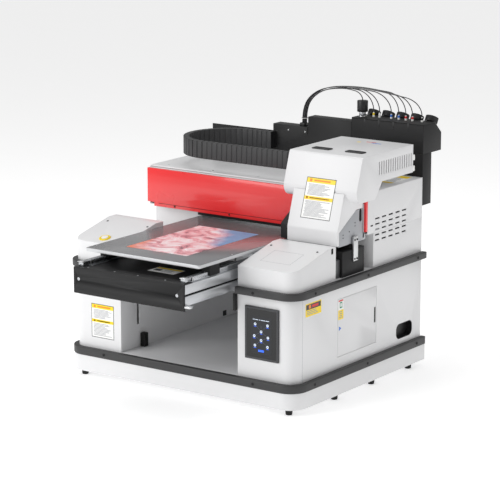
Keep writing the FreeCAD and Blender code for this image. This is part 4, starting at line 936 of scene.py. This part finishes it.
def makeRear():
    refine("rear_panel", "stand", blackCoat, 1.2, 2)
    refine("ink_tank_housing", "stand", blackCoat, 2.0, 3)
    edges = (tank["left"], *tank["seams"], tank["right"])
    front, back, lidTop = tank["lidFront"], tank["lidBack"], tank["top"] + tank["lid"]
    lids = [addBlock("lid", (a + 0.6, front, tank["top"]), (b - 0.6, back, lidTop), blackCoat, 1.0, 2)
            for a, b in zip(edges, edges[1:])]
    notches = [addBlock("lidCatch", (x - 4, 922.6, 950), (x + 4, 926, 979), blackAbs, 1.0, 2)
               for x in tank["seams"]]
    lid = settle(join("inkTankLids", lids + notches), "stand")
    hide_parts("ink_tank_lid")
    # Painted shade: thin near-black discs on the panel standing for the shade in its holes.
    holes = [addDisc("ductHole", (x, 923, z), (0, -1, 0), 2.2, 0.3, paintedGapShade, 0.1, 16) for x in (385, 392)
             for z in (836, 862, 889)]
    settle(join("ductHoles", holes), "stand")
    grommet = addPrism("tubeGrommet", "XY", roundedRect(478, 936, 508, 964, 8), 917.5, 930, blackAbs)
    settle(roundEdges(grommet, 1.5, 3), "stand")
    bpy.ops.mesh.primitive_torus_add(major_radius=14 * mm, minor_radius=1.2 * mm, major_segments=40,
                                     minor_segments=10, location=at(496.5, 950, 950))
    tie = bpy.context.object
    tie.name = "bundleTie"
    placeMesh(tie)
    settle(smooth(dress(tie, buttonWhite)), "stand")
    parts = []
    for x, colour in fittingColours:
        parts.append(addDisc("fittingBase", (x, 975, 980), (0, 0, 1), 5, 8, buttonWhite, 0.8, 6))
        parts.append(addDisc("fittingCollar", (x, 975, 988), (0, 0, 1), 4.4, 9, colour, 1.0, 24))
        parts.append(addDisc("fittingTip", (x, 975, 997), (0, 0, 1), 3.4, 3, buttonWhite, 0.6, 24))
    axis = Vector((0, math.sin(math.radians(cap["tilt"])), math.cos(math.radians(cap["tilt"]))))
    for x in capPlaces():
        start = Vector((x, cap["y"], cap["low"])) - axis * cap["neck"]
        parts.append(addDisc("neck", start, axis, cap["neckRadius"], cap["neck"], blackAbs, 0.6))
    fittings = settle(join("tubeFittingsFinished", parts), "stand")
    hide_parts("tube_fittings")
    makeStirrer()
    makeCaps()
    print("rear done")


def makeStirrer():
    x, y = 770, 960
    parts = [addDisc("stirrerBase", (x, y, 980), (0, 0, 1), 16, 4, zincSteel, 0.8)]
    for k in range(4):
        turn = math.radians(45 + 90 * k)
        place = (x + 11 * math.cos(turn), y + 11 * math.sin(turn), 984)
        parts.append(addDisc("stirrerPost", place, (0, 0, 1), 2.6, 16, zincSteel, 0.4, 20))
    parts.append(addDisc("stirrerNeck", (x, y, 984), (0, 0, 1), 13.4, 16, groundSteel, 0.4, 40))
    parts.append(addDisc("stirrerCan", (x, y, 1000), (0, 0, 1), 22, 45.5, blackAbs, 2.0, 56))
    parts.append(addDisc("stirrerRim", (x, y, 1004), (0, 0, 1), 22, 3, blackOxide, 0.6, 56))
    stirrer = settle(join("stirrerMotorFinished", parts), "stand")
    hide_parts("stirrer_motor")


cap = {"y": 1036.46, "low": 972, "tilt": 30, "radius": 25.6, "rib": 0.8, "height": 21.7, "ribs": 36,
       "neck": 26, "neckRadius": 17.8}


def capPlaces():
    pitch = (tank["right"] - tank["left"]) / 5
    return [tank["left"] + (k + 0.5) * pitch for k in range(5)]


def makeCaps():
    bpy.ops.mesh.primitive_cylinder_add(vertices=cap["ribs"] * 2, radius=cap["radius"] * mm,
                                        depth=cap["height"] * mm, location=(0, 0, cap["height"] / 2 * mm))
    model = placeMesh(bpy.context.object)
    for face in model.data.polygons:
        turn = math.degrees(math.atan2(face.center.y, face.center.x)) % 360
        face.select = abs(face.normal.z) < 0.1 and int(turn // (180 / cap["ribs"])) % 2 == 0
    switchMode("EDIT")
    bpy.ops.mesh.select_mode(type="FACE")
    bpy.ops.mesh.extrude_region_shrink_fatten(TRANSFORM_OT_shrink_fatten={"value": cap["rib"] * mm})
    bpy.ops.mesh.select_all(action="DESELECT")
    switchMode("OBJECT")
    for face in model.data.polygons:
        face.select = face.normal.z > 0.9 and face.area > 0.0005
    switchMode("EDIT")
    bpy.ops.mesh.inset(thickness=2.5 * mm)
    bpy.ops.transform.translate(value=(0, 0, -2.5 * mm))
    bpy.ops.mesh.inset(thickness=9 * mm)
    bpy.ops.transform.translate(value=(0, 0, 1.5 * mm))
    switchMode("OBJECT")
    roundEdges(model, 0.35, 1, 40)
    dress(model, blackAbs)
    tilt = Matrix.Rotation(-math.radians(cap["tilt"]), 4, "X")
    for k, x in enumerate(capPlaces()):
        spot = at(x, cap["y"], cap["low"] + 0.4)
        piece = copyMesh(model, f"inkCap{k + 1}Finished", Matrix.Translation(spot) @ tilt)
        settle(smooth(piece), f"cap_{k + 1}")
        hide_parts(f"ink_cap_{k + 1}")
    bpy.data.objects.remove(model)


# ---- bed and platen

bed = {"rails": (289, 769), "railWide": 24, "plateFront": -284, "bolts": (305, 767), "boltZ": 484}


def makeBed():
    plate = refine("bed_front_plate", "bed", blackCoat, 1.0, 2)
    pocketStart = bed["plateFront"] - 1
    carve(plate, [addDisc("boltPocket", (x, pocketStart, bed["boltZ"]), (0, 1, 0), 8, 2.6, blackCoat, 0.05)
                  for x in bed["bolts"]])
    refine("bed_frame", "bed", drawnAluminium, 0.8, 2)
    refine("y_guide_rails", "bed", groundSteel, 1.2, 2)
    sides = [(x0, x0 + bed["railWide"]) for x0 in bed["rails"]]
    ends = [addBlock("railEnd", (a, -222, 526.4), (b, -213.5, 545.5), zincSteel, 1.5, 2) for a, b in sides]
    ends += [addBlock("railNose", (a + 1, -264, 529.1), (b - 1, -222, 545.8), groundSteel, 0.8, 2)
             for a, b in sides]
    ends += [addBlock("railPad", (a, -270, 545.8), (b, -246, 548), zincSteel, 0.6, 2) for a, b in sides]
    settle(join("railEndCaps", ends), "bed")
    settle(addBlock("barGrooveShade", (795.1, -276, 482.2), (796.6, 880, 489.8), paintedGapShade, 0.05, 1), "bed")
    refine("lift_plates", "bed", milledAluminium, 0.8, 2)
    refine("y_motor", "bed", blackCoat, 2.0, 3)
    dress(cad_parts["y_screw"], groundSteel)
    for name in ("left_front", "left_rear", "right_front", "right_rear"):
        dress(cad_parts["lift_screw_" + name], groundSteel)
    settle(addBlock("bedTray", (322, -231, 523), (760, 150, 525.8), blackCoat, 1.0, 2), "bed")
    addSticker("trayLabel", "bed", (540, -165, 525.8), (1, 0, 0), (0, 1, 0),
               [(0, 0, 123, 73, whiteVinyl), (4, 52, 119, 69, yellowVinyl), (12, 18, 44, 42, darkInk)]
               + lines(52, 8, 115, 46, 6, greyInk, 31))
    settle(addBlock("barBracket", (801.2, -284, 441), (826, -262, 449), zincSteel, 1.2, 2), "bed")
    for x0, x1 in ((281, 321), (761, 801)):
        settle(addBlock("barEndCap", (x0 + 4, -278.4, 470), (x1 - 4, -277.6, 500), blackAbs, 0.2, 1), "bed")
    print("bed done")


def makePlaten():
    refine("platen", "platen", platenFinish(), 0.9, 2)
    refine("platen_bearing_blocks", "platen", blackCoat, 0.8, 2)
    (x0, y0), (x1, y1) = sheetPlace["low"], sheetPlace["high"]
    film = addPrism("printedFilm", "XY", roundedRect(x0, y0, x1, y1, 2, 3), 586, 586 + sheetPlace["thick"],
                    printFinish())
    roundEdges(film, 0.1, 1)
    settle(film, "platen")


def makeBayDetails():
    settle(addBlock("bayStop", (262, 141, 122.3), (284, 166, 178), blackCoat, 2.0, 2), "stand")
    settle(addBlock("bayStopPlate", (811, 4, 376), (820.5, 21, 442), blackCoat, 1.0, 2), "stand")
    port = addPrism("bayCablePort", "YZ", roundedRect(699, 129, 723, 151, 2), 261, 262.2, blackAbs)
    settle(roundEdges(port, 0.3, 1), "stand")
    addSticker("housingTopLabel", "stand", (990, 744, 769), (1, 0, 0), (0, 1, 0),
               [(0, 0, 55, 160, whiteVinyl), (3, 120, 52, 157, yellowVinyl), (3, 3, 52, 22, yellowVinyl)]
               + lines(6, 28, 50, 114, 8, greyInk, 41))


makeStudio()
makeTubes()
makeStand()
makeFeet()
makeScrews()
makeSideDetails()
makeLeftLabel()
makeCoverDetails()
makeScreen()
makeHousing()
makeHood()
makeHeadInside()
makeStation()
makeChain()
makeRear()
makeBed()
makePlaten()
makeBayDetails()
